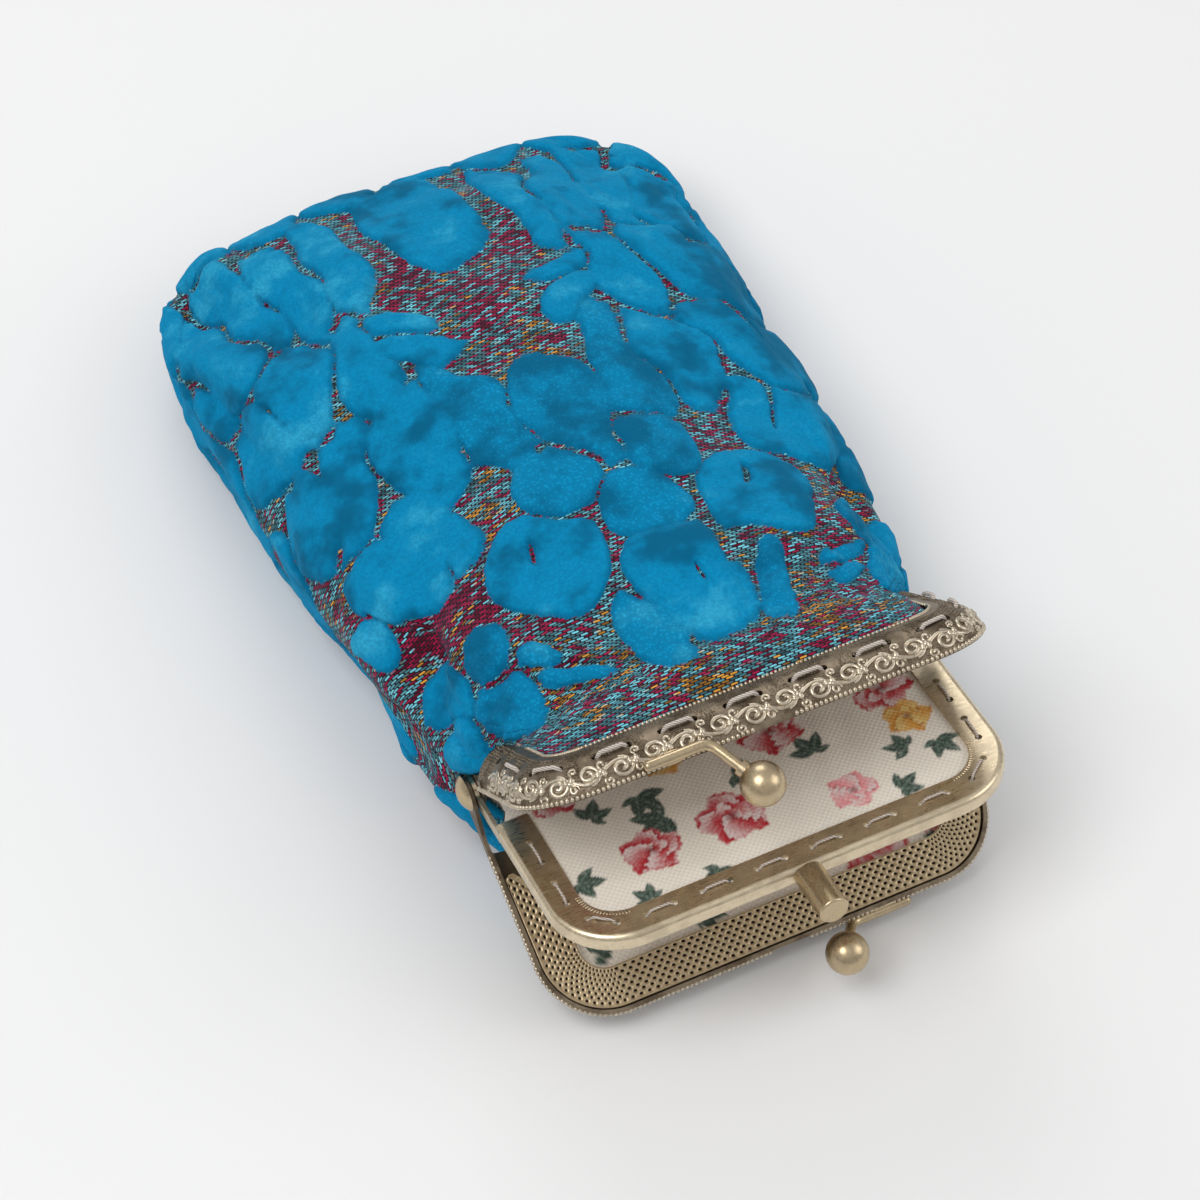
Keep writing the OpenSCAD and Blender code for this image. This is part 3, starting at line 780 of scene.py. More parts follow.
def petal_depth(u, v, across, down, length, width, lean):
    """Depth in mm inside a rounded petal, negative outside it."""
    x, y = turned_about(u, v, across, down, lean)
    r = (np.abs(x / width) ** PETAL_POWER + np.abs(y / length) ** PETAL_POWER) ** (1 / PETAL_POWER)
    return (1 - r) * min(width, length)


def from_axis(u, v):
    """Distance across from the damask's middle line."""
    return u - AXIS_START - AXIS_LEAN * v


def damask(u, v):
    """Signed depth inside the nearest pile patch in mm, and whether that patch is loop pile."""
    u = from_axis(u, v)
    v = v + wavy(u, v, 30, 3) * 1.8
    u = u + wavy(u, v, 26, 4) * 1.8
    motifs = list(MIDDLE_MOTIFS) + list(PAIRED_MOTIFS)
    motifs += [(-a, d, l, w, -lean, kind) for a, d, l, w, lean, kind in PAIRED_MOTIFS]
    best = np.full(u.shape, -50.0)
    second = best.copy()
    loop = np.zeros(u.shape)
    for across, down, length, width, lean, kind in motifs:
        depth = petal_depth(u, v, across, down, length, width, lean)
        ahead = depth > best
        second = np.where(ahead, best, np.maximum(second, depth))
        loop = np.where(ahead, kind, loop)
        best = np.where(ahead, depth, best)
    gap = 0.34 - 2.2 * np.clip(wavy(u, v, 24, 6) + 0.2, 0, 1)
    line = (best - second) * 0.5 - gap
    field = np.minimum(best, line)
    for across, down, length, width, lean in SLITS:
        field = np.minimum(field, -petal_depth(u, v, across, down, length, width, lean) * 4)
    return field + wavy(u, v, 3.2, 5) * 0.2 + wavy(u, v, 9.0, 7) * 0.12, loop


def spots(u, v, places):
    """How near each place of the cloth is to the spots, 1 at a spot's middle."""
    u = from_axis(u, v)
    return sum(np.exp(-((u - a) ** 2 + (v - d) ** 2) / (r * r)) for a, d, r in places)


def velvet_material(fabric):
    mat, n, surface = new_material("cut_velvet")
    cloth = n.cloth()
    where = n.place()
    fuzz = n.noise(where, 2600.0, 3.0)
    depth = n.math("MULTIPLY_ADD", n.math("SUBTRACT", fuzz, 0.5), 0.9, n.attribute("pile_depth"))
    pile = n.step(depth, -0.12, 0.16)
    # Painted sheen and painted shade on the pile, in random broad and fine patches where its nap turns.
    nap_sheen_and_shade = n.noise(where, 85.0, 3.0, 0.6)
    broad = n.noise(where, 28.0, 2.0)
    brushed = n.math("MULTIPLY_ADD", n.math("SUBTRACT", broad, 0.5), 0.9, nap_sheen_and_shade)
    tone = n.mix(n.step(brushed, 0.28, 0.52), tuple(fabric.pile_painted_shade), tuple(fabric.pile))
    tone = n.mix(n.step(brushed, 0.55, 0.78), tone, tuple(fabric.pile_painted_sheen))
    speck = n.noise(where, 1500.0, 4.0, 0.7)
    curls = n.add("ShaderNodeTexVoronoi", None, Vector=where, Scale=1250.0)
    loops = n.step(curls.outputs["Distance"], 0.1, 0.7, 0.72, 0.22)
    grain = n.mix(n.attribute("loop_pile"), speck, loops)
    # Painted shade in the grain's hollows and painted sheen on its tops; the same grain is the pile's bump.
    tone = n.mix(n.step(grain, 0.32, 0.68, 0.55, 0.0), tone, n.mix(0.75, tone, tuple(fabric.pile_painted_shade)))
    tone = n.mix(n.step(grain, 0.62, 0.85, 0.0, 0.35), tone, tuple(fabric.pile_painted_sheen))
    # Painted shade along the edges of the pile patches.
    tone = n.mix(n.step(depth, 0.1, 1.1, 0.45, 0.0), tone, tuple(fabric.pile_painted_shade))

    dash = use_group(n, "Pouch Floats", floats_group, Cloth=cloth, Length=0.175, Row=0.05)
    random = dash.outputs["Random"]
    lean = n.math("SUBTRACT", random, 0.5)
    blue, deep_blue = tuple(fabric.ground_blue), toned(fabric.ground_blue, 0.42)
    ground = n.mix(n.step(random, 0.25, 0.8), blue, deep_blue)
    red = n.step(n.math("MULTIPLY_ADD", lean, 0.9, n.attribute("crimson")), 0.42, 0.52)
    ground = n.mix(red, ground, tuple(fabric.crimson))
    yellow = n.step(n.math("MULTIPLY_ADD", lean, -0.9, n.attribute("gold")), 0.42, 0.52)
    ground = n.mix(yellow, ground, tuple(fabric.gold))
    strength = n.step(dash.outputs["Tint"], 0.25, 0.75, 0.35, 1.25)
    grey = n.add("ShaderNodeCombineXYZ", None, i0=strength, i1=strength, i2=strength)
    ground = n.mix(1.0, ground, grey, "MULTIPLY")
    ground = n.mix(n.step(dash.outputs["Height"], 0.3, 0.7), tuple(fabric.ground_dark), ground)

    n.join(n.mix(pile, ground, tone), surface.inputs["Base Color"])
    n.join(n.step(pile, 0.0, 1.0, 0.62, 0.92), surface.inputs["Roughness"])
    set_plain(surface, Specular_IOR_Level=0.06, Sheen_Weight=0.14, Sheen_Roughness=0.45)
    set_plain(surface, Sheen_Tint=(0.15, 0.70, 1.0, 1.0))
    heights = {"i2": dash.outputs["Height"], "i3": n.math("MULTIPLY", grain, 0.8)}
    height = n.add("ShaderNodeMix", {"data_type": "FLOAT"}, i0=pile, **heights)
    add_bump(n, surface, height.outputs[0], 0.55, 0.00028)
    return mat


SETTLING_FRAMES = 18
CLOTH = {
    "vertex_group_mass": "held",
    "mass": 0.25,
    "tension_stiffness": 25,
    "compression_stiffness": 25,
    "shear_stiffness": 8,
    "bending_stiffness": 0.6,
    "use_pressure": True,
    "quality": 6,
}
# The rows held fast in the channel. Past them the hold fades over HELD_FADE mm, and it ends HELD_TO mm
# down the bag from the hinge, where the side seams start.
HELD_ROWS = 5
HELD_TO = 4
HELD_FADE = 10
LEAST_HOLD = 0.02
# The most that the settling may move the cloth, and its lowest height over the table, in mm.
MOST_MOVE = 3.6
LOWEST_CLOTH = 0.35


def settle(cages, fabric):
    """Lets the velvet swell and fold as cloth over its padding, held in the channels and at the hinge."""
    count = CAGE_ROWS * CAGE_COLS
    points = np.concatenate([cages[FRONT].reshape(-1, 3), cages[BACK].reshape(-1, 3)])
    same = np.arange(2 * count)
    past_hinge = (cages[FRONT][:, 0, 1] > HELD_TO) & (cages[BACK][:, 0, 1] > HELD_TO)
    first_sewn = int(np.argmax(past_hinge))
    grid = np.arange(count).reshape(CAGE_ROWS, CAGE_COLS)
    for part in (grid[first_sewn:, 0], grid[first_sewn:, -1], grid[-1, :]):
        same[part + count] = part
    keep, back_to = np.unique(same, return_inverse=True)
    faces = grid_faces(CAGE_ROWS, CAGE_COLS, 0, True) + grid_faces(CAGE_ROWS, CAGE_COLS, count)
    faces = [[int(back_to[i]) for i in face] for face in faces]
    faces = [list(dict.fromkeys(face)) for face in faces]
    bag = mesh_object("settling_bag", points[keep], [face for face in faces if len(face) > 2])
    held = bag.vertex_groups.new(name="held")
    start = points[keep]
    for i, p in enumerate(start):
        weight = float(np.clip((HELD_TO - p[1]) / HELD_FADE, 0, 1)) * 0.9
        if keep[i] % count < HELD_ROWS * CAGE_COLS:
            weight = 1.0
        if weight > LEAST_HOLD:
            held.add([i], weight, "REPLACE")
    cloth = bag.modifiers.new("cloth", "CLOTH")
    for key, value in CLOTH.items():
        setattr(cloth.settings, key, value)
    cloth.settings.uniform_pressure_force = fabric.fullness
    cloth.settings.shrink_min = -fabric.slack
    cloth.settings.effector_weights.gravity = 0.0
    scene = bpy.context.scene
    for step in range(1, SETTLING_FRAMES + 1):
        scene.frame_set(step)
    moved = np.zeros(len(start) * 3, np.float32)
    result = bag.evaluated_get(bpy.context.evaluated_depsgraph_get()).to_mesh()
    result.vertices.foreach_get("co", moved)
    settled = (moved.reshape(-1, 3) - np.array([0, HINGE[1], 0])) / MM
    scene.frame_set(1)
    bpy.data.objects.remove(bag)
    move = settled - start
    size = np.linalg.norm(move, axis=1, keepdims=True)
    move *= np.tanh(size / MOST_MOVE) * MOST_MOVE / np.maximum(size, 1e-6)
    every = (start + move)[back_to]
    every[:, 2] = np.maximum(every[:, 2], LOWEST_CLOTH)
    return {
        FRONT: every[:count].reshape(CAGE_ROWS, CAGE_COLS, 3),
        BACK: every[count:].reshape(CAGE_ROWS, CAGE_COLS, 3),
    }


# Folds and dents by side, in mm on the cloth: across, down, half widths, lean in degrees, rise.
FOLDS = {
    FRONT: (
        (-48, 50, 4.0, 14, 32, -3.4),
        (-58, 62, 7.0, 12, 10, 2.2),
        (-52, 166, 8.0, 12, -20, -3.6),
        (-40, 172, 5.0, 13, -10, 1.8),
        (-57, 128, 3.2, 26, -6, -2.4),
        (-49, 122, 3.6, 24, -6, 1.4),
        (-60, 96, 4.0, 12, 30, -2.2),
        (-30, 150, 5.0, 20, 24, -1.2),
        (47, 168, 5.0, 11, 24, -2.6),
        (60, 140, 4.0, 16, -14, -1.8),
        (56, 104, 5.0, 14, 12, -1.8),
        (50, 48, 4.5, 12, -28, -2.4),
        (10, 170, 20, 5.0, 0, -1.2),
    ),
    BACK: (
        (-60, 52, 7.0, 13, 0, 2.6),
        (60, 52, 7.0, 13, 0, 2.0),
        (-62, 110, 5.0, 18, 8, -1.6),
        (62, 140, 5.0, 16, 0, -1.6),
    ),
}


# Down the cloth: where folds may start, and the lengths over which they ease in and out.
FOLD_START = 12
FOLD_EASE_IN = 14
FOLD_SIDE_EASE = 7
FOLD_END_EASE = 6


def folded(side, cage):
    """The settled cloth with its handled folds and dents, easing out at the channel and the seams."""
    u, v = cloth_measure(cage)
    rise = 0.7 * wavy(u, v, 46, 13)
    for across, down, wide, long, lean, high in FOLDS[side]:
        x, y = turned_about(u, v, across, down, lean)
        rise = rise + high * np.exp(-((x / wide) ** 2) - (y / long) ** 2)
    edge = u.max(axis=1, keepdims=True) - np.abs(u)
    rise = rise * np.clip((v - FOLD_START) / FOLD_EASE_IN, 0, 1)
    rise = rise * np.clip(edge / FOLD_SIDE_EASE, 0, 1) * np.clip((v.max() - v) / FOLD_END_EASE, 0, 1)
    cage = cage + grid_normals(cage) * away(side) * rise[..., None]
    cage[..., 2] = np.maximum(cage[..., 2], LOWEST_CLOTH)
    return cage


CAGES = {}


def settled_cages(fabric):
    if not CAGES:
        CAGES.update({side: panel_cage(side) for side in (FRONT, BACK)})
        CAGES.update(settle(CAGES, fabric))
        CAGES.update({side: folded(side, cage) for side, cage in CAGES.items()})
    return CAGES


# In mm: the velvet's thickness under its pile, the pile's rounded edge, and the closest to the table.
VELVET_BACKING = 1.2
PILE_EDGE = 0.55
LOWEST_PILE = 0.05


def ease_to_rim(count, steps):
    """Shares that rise from 0 at both ends to 1 over a number of steps."""
    at = np.arange(count)
    return np.minimum(1, np.minimum(at, at[::-1]) / steps)


def bend_with_leaf(piece):
    """Bakes the piece's transform into its mesh."""
    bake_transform(piece)


class POUCH_OT_velvet(bpy.types.Operator):
    """Makes the front and back velvet with raised pile, settled as cloth over the padding"""

    bl_idname = "pouch.velvet"
    bl_label = "Velvet"

    def execute(self, context):
        fabric = context.scene.pouch_fabric
        material = velvet_material(fabric)
        for side, cage in settled_cages(fabric).items():
            self.panel(side, cage, fabric, material)
        return {"FINISHED"}

    @staticmethod
    def panel(side, cage, fabric, material):
        rows, cols = finer_size(FINE)
        base = finer(cage, rows, cols)
        u, v = cloth_measure(base)
        depth, loop = damask(u if side == FRONT else -u, v)
        high = np.where(loop > 0.5, fabric.loop_height, fabric.pile_height) / MM
        lift = high * (1 - np.exp(-np.maximum(depth, 0) / PILE_EDGE))
        lift += np.where(depth > 0, wavy(u, v, 9, 11) * 0.12, 0)
        edge = ease_to_rim(rows, 12)[:, None]
        side_edge = ease_to_rim(cols, 8)[None, :]
        outward = grid_normals(base) * away(side)
        outer = base + outward * (lift * edge * side_edge)[..., None]
        if side == BACK:
            outer[..., 2] = np.maximum(outer[..., 2], LOWEST_PILE)
        inner = cage - grid_normals(cage) * away(side) * VELVET_BACKING
        piece = shell(SIDE_NAME[side] + "_velvet", outer, inner, side == FRONT)
        clusters = wavy(u * 0.7, v * 1.6, 14, 21) * 0.22
        red = 0.24 + clusters + 0.34 * spots(u, v, CRIMSON_SPOTS)
        yellow = 0.02 - clusters + 0.36 * spots(u, v, GOLD_SPOTS)
        for label, values, inside in (
            ("pile_depth", depth, -1.0),
            ("loop_pile", loop, 0.0),
            ("crimson", red, 0.0),
            ("gold", yellow, 0.0),
        ):
            spare = np.full(CAGE_ROWS * CAGE_COLS, inside)
            add_attribute(piece.data, label, "FLOAT", np.r_[values.ravel(), spare])
        inner_u, inner_v = cloth_measure(cage)
        add_uv(piece.data, np.r_[u.ravel(), inner_u.ravel()], np.r_[v.ravel(), inner_v.ravel()])
        piece.data.materials.append(material)
        name = SIDE_NAME[side]
        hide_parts(f"{name}_velvet_panel", f"{name}_velvet_mouth", f"{name}_padding")
        bend_with_leaf(piece)


# ---------- lining ----------

# The lining's print, in mm: roses as across, out, radius, turn; leaves as across, out, length, lean.
RED_ROSES = (
    (-23.3, 31.5, 5.6, 0.4), (-6.5, 31.0, 6.6, 2.0), (9.0, 15.0, 6.0, 1.0),
    (-34.0, 10.0, 5.2, 3.0), (32.5, 15.0, 6.0, 4.0), (16.0, 36.0, 4.6, 5.2),
)
GOLD_ROSES = ((33.7, 24.0, 4.6, 1.5), (-12.0, 12.0, 4.0, 0.2))
SPRIGS = (
    (-17.7, 25.0, 7.5, 150), (-14.1, 41.3, 5.5, 100), (-38.5, 32.0, 5.5, 20), (35.6, 32.0, 5.5, 60),
    (30.0, 31.0, 5.0, 200), (-20.0, 18.0, 6.5, 60), (-2.0, 22.0, 5.5, 10), (14.0, 24.0, 6.0, 250),
    (-30.0, 19.0, 5.5, 300), (22.0, 8.0, 5.5, 120), (24.0, 40.0, 5.0, 330), (-28.0, 42.0, 4.5, 230),
)
# A sprig's leaves, as spread from its lean in degrees and share of its length.
SPRIG_LEAVES = ((-52, 0.85), (0, 1.0), (50, 0.9), (105, 0.6))
REPEAT = (88.0, 52.0)
# How far the print is shifted across and out on a turned piece.
PRINT_SHIFT = (17.0, 26.5)
CRIMSON_INK = (0.52, 0.010, 0.026)
PINK_INK = (0.86, 0.300, 0.320)
PALE_INK = (0.800, 0.640, 0.620)
GOLD_INK = (0.760, 0.330, 0.050)
YELLOW_INK = (0.86, 0.62, 0.22)
LEAF_INK = (0.030, 0.062, 0.050)
LEAF_LIGHT = (0.200, 0.290, 0.230)
WINE_INK = (0.120, 0.006, 0.012)


def soft_edge(depth, width=0.25):
    return np.clip(depth / width + 0.5, 0, 1)[..., None]


def ink(colour, share, tone):
    return colour * (1 - share) + np.asarray(tone) * share


def draw_rose(colour, x, y, rose, bright, mid):
    """Inks one rose of ruffled petals over the colours near it."""
    cx, cy, radius, turn = rose
    near = (np.abs(x - cx) < radius * 1.6) & (np.abs(y - cy) < radius * 1.6)
    dx, dy = x[near] - cx, y[near] - cy
    angle = np.arctan2(dy, dx) + turn
    ruffle = 0.10 * np.sin(5 * angle) + 0.05 * np.sin(9 * angle + 1) + 0.03 * np.sin(23 * angle)
    far = np.hypot(dx, dy * 1.1) / (radius * (1 + ruffle))
    ring = np.floor(far * 3.4)
    petal = (angle / (2 * math.pi) * (2 + ring) + 0.37 * ring + far * 0.8) % 1
    streak = 0.5 + 0.5 * np.sin(angle * 31 + far * 9)
    glow = np.clip(petal * 1.25 - 0.25 * streak, 0, 1)[..., None]
    drawn = ink(np.broadcast_to(mid, (len(dx), 3)), glow**1.5, bright)
    drawn = ink(drawn, np.clip(1 - far * 3.6, 0, 1)[..., None] * 0.8, WINE_INK)
    drawn = ink(drawn, (np.clip(0.12 - petal, 0, 1) * 6)[..., None] * 0.7, WINE_INK)
    drawn = ink(drawn, np.clip((far - 0.86) * 5, 0, 1)[..., None] * 0.7, mid)
    colour[near] = ink(colour[near], soft_edge((1 - far) * radius), drawn)


def draw_sprig(colour, x, y, sprig):
    """Inks one sprig of veined leaves."""
    cx, cy, length, lean = sprig
    for spread, share in SPRIG_LEAVES:
        a = math.radians(lean + spread)
        size = length * share
        along = (x - cx) * math.cos(a) + (y - cy) * math.sin(a)
        across = -(x - cx) * math.sin(a) + (y - cy) * math.cos(a)
        t = np.clip(along / size, 0, 1)
        half = size * 0.24 * np.sin(np.pi * t**0.8)
        depth = np.where((along > 0) & (along < size), half - np.abs(across), -1.0)
        vein = np.exp(-((across / 0.16) ** 2)) + 0.5 * (np.sin(along * 5 + np.abs(across) * 6) > 0.55)
        leaf = np.broadcast_to(LEAF_INK, (*x.shape, 3))
        tone = ink(leaf, np.clip(vein, 0, 1)[..., None] * 0.65, LEAF_LIGHT)
        colour[:] = ink(colour, soft_edge(depth), tone)


def lining_print(x, y, ground, turned=False):
    """Colour of the printed cotton at a place, repeating over the cloth."""
    if turned:
        x, y = -x + PRINT_SHIFT[0], y + PRINT_SHIFT[1]
    x = (x + REPEAT[0] / 2) % REPEAT[0] - REPEAT[0] / 2
    y = y % REPEAT[1]
    colour = np.tile(np.asarray(ground[:3]), (*x.shape, 1)).astype(float)
    for sprig in SPRIGS:
        draw_sprig(colour, x, y, sprig)
    for rose in RED_ROSES:
        draw_rose(colour, x, y, rose, PALE_INK, CRIMSON_INK if rose[2] > 5 else PINK_INK)
    for rose in GOLD_ROSES:
        draw_rose(colour, x, y, rose, YELLOW_INK, GOLD_INK)
    return colour


def cotton_material():
    mat, n, surface = new_material("printed_cotton")
    cloth = n.cloth()
    where = n.place()
    weave = use_group(n, "Pouch Plain Weave", plain_weave_group, Cloth=cloth, Threads=17.0)
    slub = n.noise(where, 700.0, 3.0)
    printed = n.attribute("print", "Color")
    dark = n.mix(0.5, printed, (0.12, 0.08, 0.05, 1))
    # Darker in the weave's dips: painted shade, mixed with random tone of the threads.
    shaded = n.mix(n.step(weave.outputs["Shade"], 0.2, 0.75, 0.55, 0.0), printed, dark)
    shaded = n.mix(n.step(slub, 0.55, 0.8, 0.0, 0.2), shaded, (0.95, 0.92, 0.86, 1))
    n.join(shaded, surface.inputs["Base Color"])
    n.join(n.step(slub, 0.2, 0.8, 0.8, 0.95), surface.inputs["Roughness"])
    set_plain(surface, Specular_IOR_Level=0.2, Sheen_Weight=0.12)
    add_bump(n, surface, weave.outputs["Height"], 0.5, 0.00012)
    return mat


def print_on(piece, across, down, fabric, turned, material):
    """Gives a lining piece its print, its cloth map and its material."""
    colours = lining_print(across, down, fabric.cotton, turned)
    rgba = np.concatenate([colours, np.ones((len(colours), 1))], axis=1)
    add_attribute(piece.data, "print", "FLOAT_COLOR", rgba)
    add_uv(piece.data, across, down)
    piece.data.materials.append(material)


LINING_DEPTH = 2.4
LINING_THICK = 0.4
LINING_FINE = 3
# Most height inside the channel for the lining's first rows, which lie on the strip.
LINING_TUCK = (4.6, 5.2, 5.8, 6.3, 6.7)


def pocket_lining(side, cage, fabric, material):
    """The printed cotton inside one pocket, a little way in from the velvet."""
    outward = grid_normals(cage) * away(side)
    outward[:6] = outward[6]
    outward[:, :4], outward[:, -4:] = outward[:, 4:5], outward[:, -5:-4]
    depth = LINING_DEPTH * np.clip((np.arange(CAGE_ROWS) - 1) / 5, 0, 1)[:, None, None]
    outer = cage - outward * depth
    inner = cage - outward * (depth + LINING_THICK)
    for row, most in enumerate(LINING_TUCK):
        outer[row] = under_crown(side, outer[row], most)
        inner[row] = under_crown(side, inner[row], most - LINING_THICK)
    name = SIDE_NAME[side]
    rows, cols = finer_size(LINING_FINE)
    piece = shell(name + "_lining_cloth", finer(inner, rows, cols), outer, side == BACK)
    u, v = cloth_measure(cage)
    fine_u, fine_v = cloth_measure(finer(cage, rows, cols))
    across, down = np.r_[fine_u.ravel(), u.ravel()], np.r_[fine_v.ravel(), v.ravel()]
    print_on(piece, across, down, fabric, side == BACK, material)
    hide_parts(name + "_lining", name + "_lining_mouth")
    bend_with_leaf(piece)


DIVIDER_TIP = 47.6
DIVIDER_CORNER = 12.9
DIVIDER_HALF = 45.2
DIVIDER_NECK = 42.6
DIVIDER_END = 141.0
BAG_EASE = 4.6
# In mm from the stiffener: the cloth's inner face, its outer face and the most it puffs out.
DIVIDER_INNER = 0.05
DIVIDER_OUTER = 0.75
DIVIDER_PUFF = 0.9
# The puff's middle and half length, as distances out from the hinge.
PUFF_MIDDLE = 22
PUFF_REACH = 27


def divider_half_width(out):
    """Half width at a distance out towards the mouth, negative down the bag."""
    over = np.maximum(0, out - (DIVIDER_TIP - DIVIDER_CORNER))
    corner = DIVIDER_CORNER - np.sqrt(np.maximum(0, DIVIDER_CORNER**2 - over**2))
    at_mouth = DIVIDER_HALF - corner
    y = -out
    down = half_width(np.maximum(y, 0)) - BAG_EASE
    swap = np.clip((y + EAR + 1) / 5, 0, 1) * np.clip((EAR + 4 - y) / 5, 0, 1)
    return np.where(out > 0, at_mouth, down) * (1 - swap) + DIVIDER_NECK * swap


def divider_cloth(face, fabric, material):
    """One face of the divider: lining pulled flat inside the middle frame and on down the bag."""
    outs = np.concatenate([np.linspace(DIVIDER_TIP, 2, 116), np.linspace(0, -DIVIDER_END, 77)])
    tau = np.linspace(-1, 1, 225)
    half = divider_half_width(outs)[:, None]
    x = half * tau[None, :]
    out = np.broadcast_to(outs[:, None], x.shape)
    bend = 1 / (1 + np.exp(-out / 2.0))
    in_frame = on_leaf(MIDDLE, x, out, 0.0)
    slope = math.atan2(HINGE_Z - BOTTOM_Z, BAG_LEN)
    in_bag = stack(x, -out * math.cos(slope), HINGE_Z + out * math.sin(slope))
    base = in_frame * bend[..., None] + in_bag * (1 - bend[..., None])
    swell = 1 - np.clip(np.abs(out - PUFF_MIDDLE) / PUFF_REACH, 0, 1) ** 4
    puff = DIVIDER_PUFF * (1 - tau[None, :] ** 4) * swell * (out > -5)
    puff = puff + 0.12 * wavy(x, out, 12, 31)
    up = grid_normals(base)
    up *= np.sign(up[..., 2:3])
    outer = base + up * (face * (DIVIDER_OUTER + np.maximum(puff, 0)))[..., None]
    inner = (base + up * face * DIVIDER_INNER)[::2, ::2]
    piece = shell(f"divider_{SIDE_NAME[face]}_cloth", outer, inner, face == BACK)
    across, down = np.r_[x.ravel(), x[::2, ::2].ravel()], np.r_[out.ravel(), out[::2, ::2].ravel()]
    print_on(piece, across, down, fabric, face == BACK, material)
    nodes = [f"divider_{SIDE_NAME[face]}_lining"] + (["divider_stiffener"] if face == FRONT else [])
    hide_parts(*nodes)
    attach(piece, "root")


class POUCH_OT_lining(bpy.types.Operator):
    """Makes the printed cotton inside both pockets and on both faces of the divider"""

    bl_idname = "pouch.lining"
    bl_label = "Lining"

    def execute(self, context):
        fabric = context.scene.pouch_fabric
        material = cotton_material()
        for side, cage in settled_cages(fabric).items():
            pocket_lining(side, cage, fabric, material)
            divider_cloth(side, fabric, material)
        return {"FINISHED"}


# ---------- what repeats: copies on marked points, and thread along lines ----------


def node_tree(name, ins):
    tree = bpy.data.node_groups.new(name, "GeometryNodeTree")
    tree.interface.new_socket("Geometry", in_out="INPUT", socket_type="NodeSocketGeometry")
    for label, kind, default in ins:
        socket = tree.interface.new_socket(label, in_out="INPUT", socket_type=kind)
        if default is not None:
            socket.default_value = default
    tree.interface.new_socket("Geometry", in_out="OUTPUT", socket_type="NodeSocketGeometry")
    n = Nodes(tree)
    return tree, n, n.add("NodeGroupInput"), n.add("NodeGroupOutput")


def named(n, name, kind):
    return n.add("GeometryNodeInputNamedAttribute", {"data_type": kind}, Name=name).outputs[0]


def finish_tree(n, geometry, gi, go):
    smooth = n.add("GeometryNodeSetShadeSmooth", None, i0=geometry)
    painted = n.add("GeometryNodeSetMaterial", None, Geometry=smooth, Material=gi.outputs["Material"])
    n.join(painted, go.inputs["Geometry"])


def copies_tree():
    """A motif on every point, turned by the point's frame and stretched by its size, with a spread."""
    tree, n, gi, go = node_tree(
        "Pouch Copies",
        [
            ("Motif", "NodeSocketObject", None),
            ("Spread", FLOAT, 0.0),
            ("Seed", "NodeSocketInt", 1),
            ("Material", "NodeSocketMaterial", None),
        ],
    )
    motif = n.add("GeometryNodeObjectInfo", None, Object=gi.outputs["Motif"]).outputs["Geometry"]
    turned = n.add("FunctionNodeEulerToRotation", None, i0=named(n, "turn", "FLOAT_VECTOR"))
    limits = {
        "i2": n.math("SUBTRACT", 1.0, gi.outputs["Spread"]),
        "i3": n.math("ADD", 1.0, gi.outputs["Spread"]),
    }
    random = n.add("FunctionNodeRandomValue", {"data_type": "FLOAT"}, Seed=gi.outputs["Seed"], **limits)
    size = n.add("ShaderNodeVectorMath", {"operation": "SCALE"}, i0=named(n, "size", "FLOAT_VECTOR"))
    n.join(random.outputs[1], size.inputs["Scale"])
    placing = {"Points": gi.outputs["Geometry"], "Instance": motif, "Rotation": turned, "Scale": size}
    copies = n.add("GeometryNodeInstanceOnPoints", None, **placing)
    finish_tree(n, n.add("GeometryNodeRealizeInstances", None, i0=copies), gi, go)
    return tree


def thread_tree():
    """A round thread along every line, as thick as its points say."""
    tree, n, gi, go = node_tree(
        "Pouch Thread",
        [
            ("Radius", FLOAT, 0.0005),
            ("Sides", "NodeSocketInt", 8),
            ("Material", "NodeSocketMaterial", None),
        ],
    )
    curve = n.add("GeometryNodeMeshToCurve", None, i0=gi.outputs["Geometry"])
    round_wire = {"Resolution": gi.outputs["Sides"], "Radius": gi.outputs["Radius"]}
    ring = n.add("GeometryNodeCurvePrimitiveCircle", None, **round_wire)
    thick = named(n, "thick", "FLOAT")
    tube = n.add("GeometryNodeCurveToMesh", None, i0=curve, i1=ring, Scale=thick, Fill_Caps=True)
    finish_tree(n, n.add("GeometryNodeRealizeInstances", None, i0=tube), gi, go)
    return tree


def grow(name, marks, tree, leaf, slot, **inputs):
    """Runs a tree on its marks and keeps the result as one plain piece on a body."""
    modifier = marks.modifiers.new("grow", "NODES")
    modifier.node_group = tree
    for item in tree.interface.items_tree:
        key = item.name.lower()
        if item.in_out == "INPUT" and key in inputs:
            modifier[item.identifier] = inputs[key]
    bpy.context.view_layer.update()
    mesh = bpy.data.meshes.new_from_object(marks.evaluated_get(bpy.context.evaluated_depsgraph_get()))
    mesh.name = name
    bpy.data.objects.remove(marks)
    if not mesh.polygons:
        raise RuntimeError(f"{name} came out empty")
    piece = bpy.data.objects.new(name, mesh)
    bpy.context.scene.collection.objects.link(piece)
    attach(piece, BODY[leaf])


def scatter(name, motif, marks, leaf, slot, material, spread, seed):
    """Sets a motif on marked points as one piece, then clears the motif away."""
    tree = built_once("Pouch Copies", copies_tree)
    grow(name, marks, tree, leaf, slot, motif=motif, spread=spread, seed=seed, material=material)
    bpy.data.objects.remove(motif)


def run_thread(name, marks, leaf, slot, material, radius, sides):
    """Runs a round thread along marked lines as one piece."""
    tree = built_once("Pouch Thread", thread_tree)
    grow(name, marks, tree, leaf, slot, radius=radius, sides=sides, material=material)


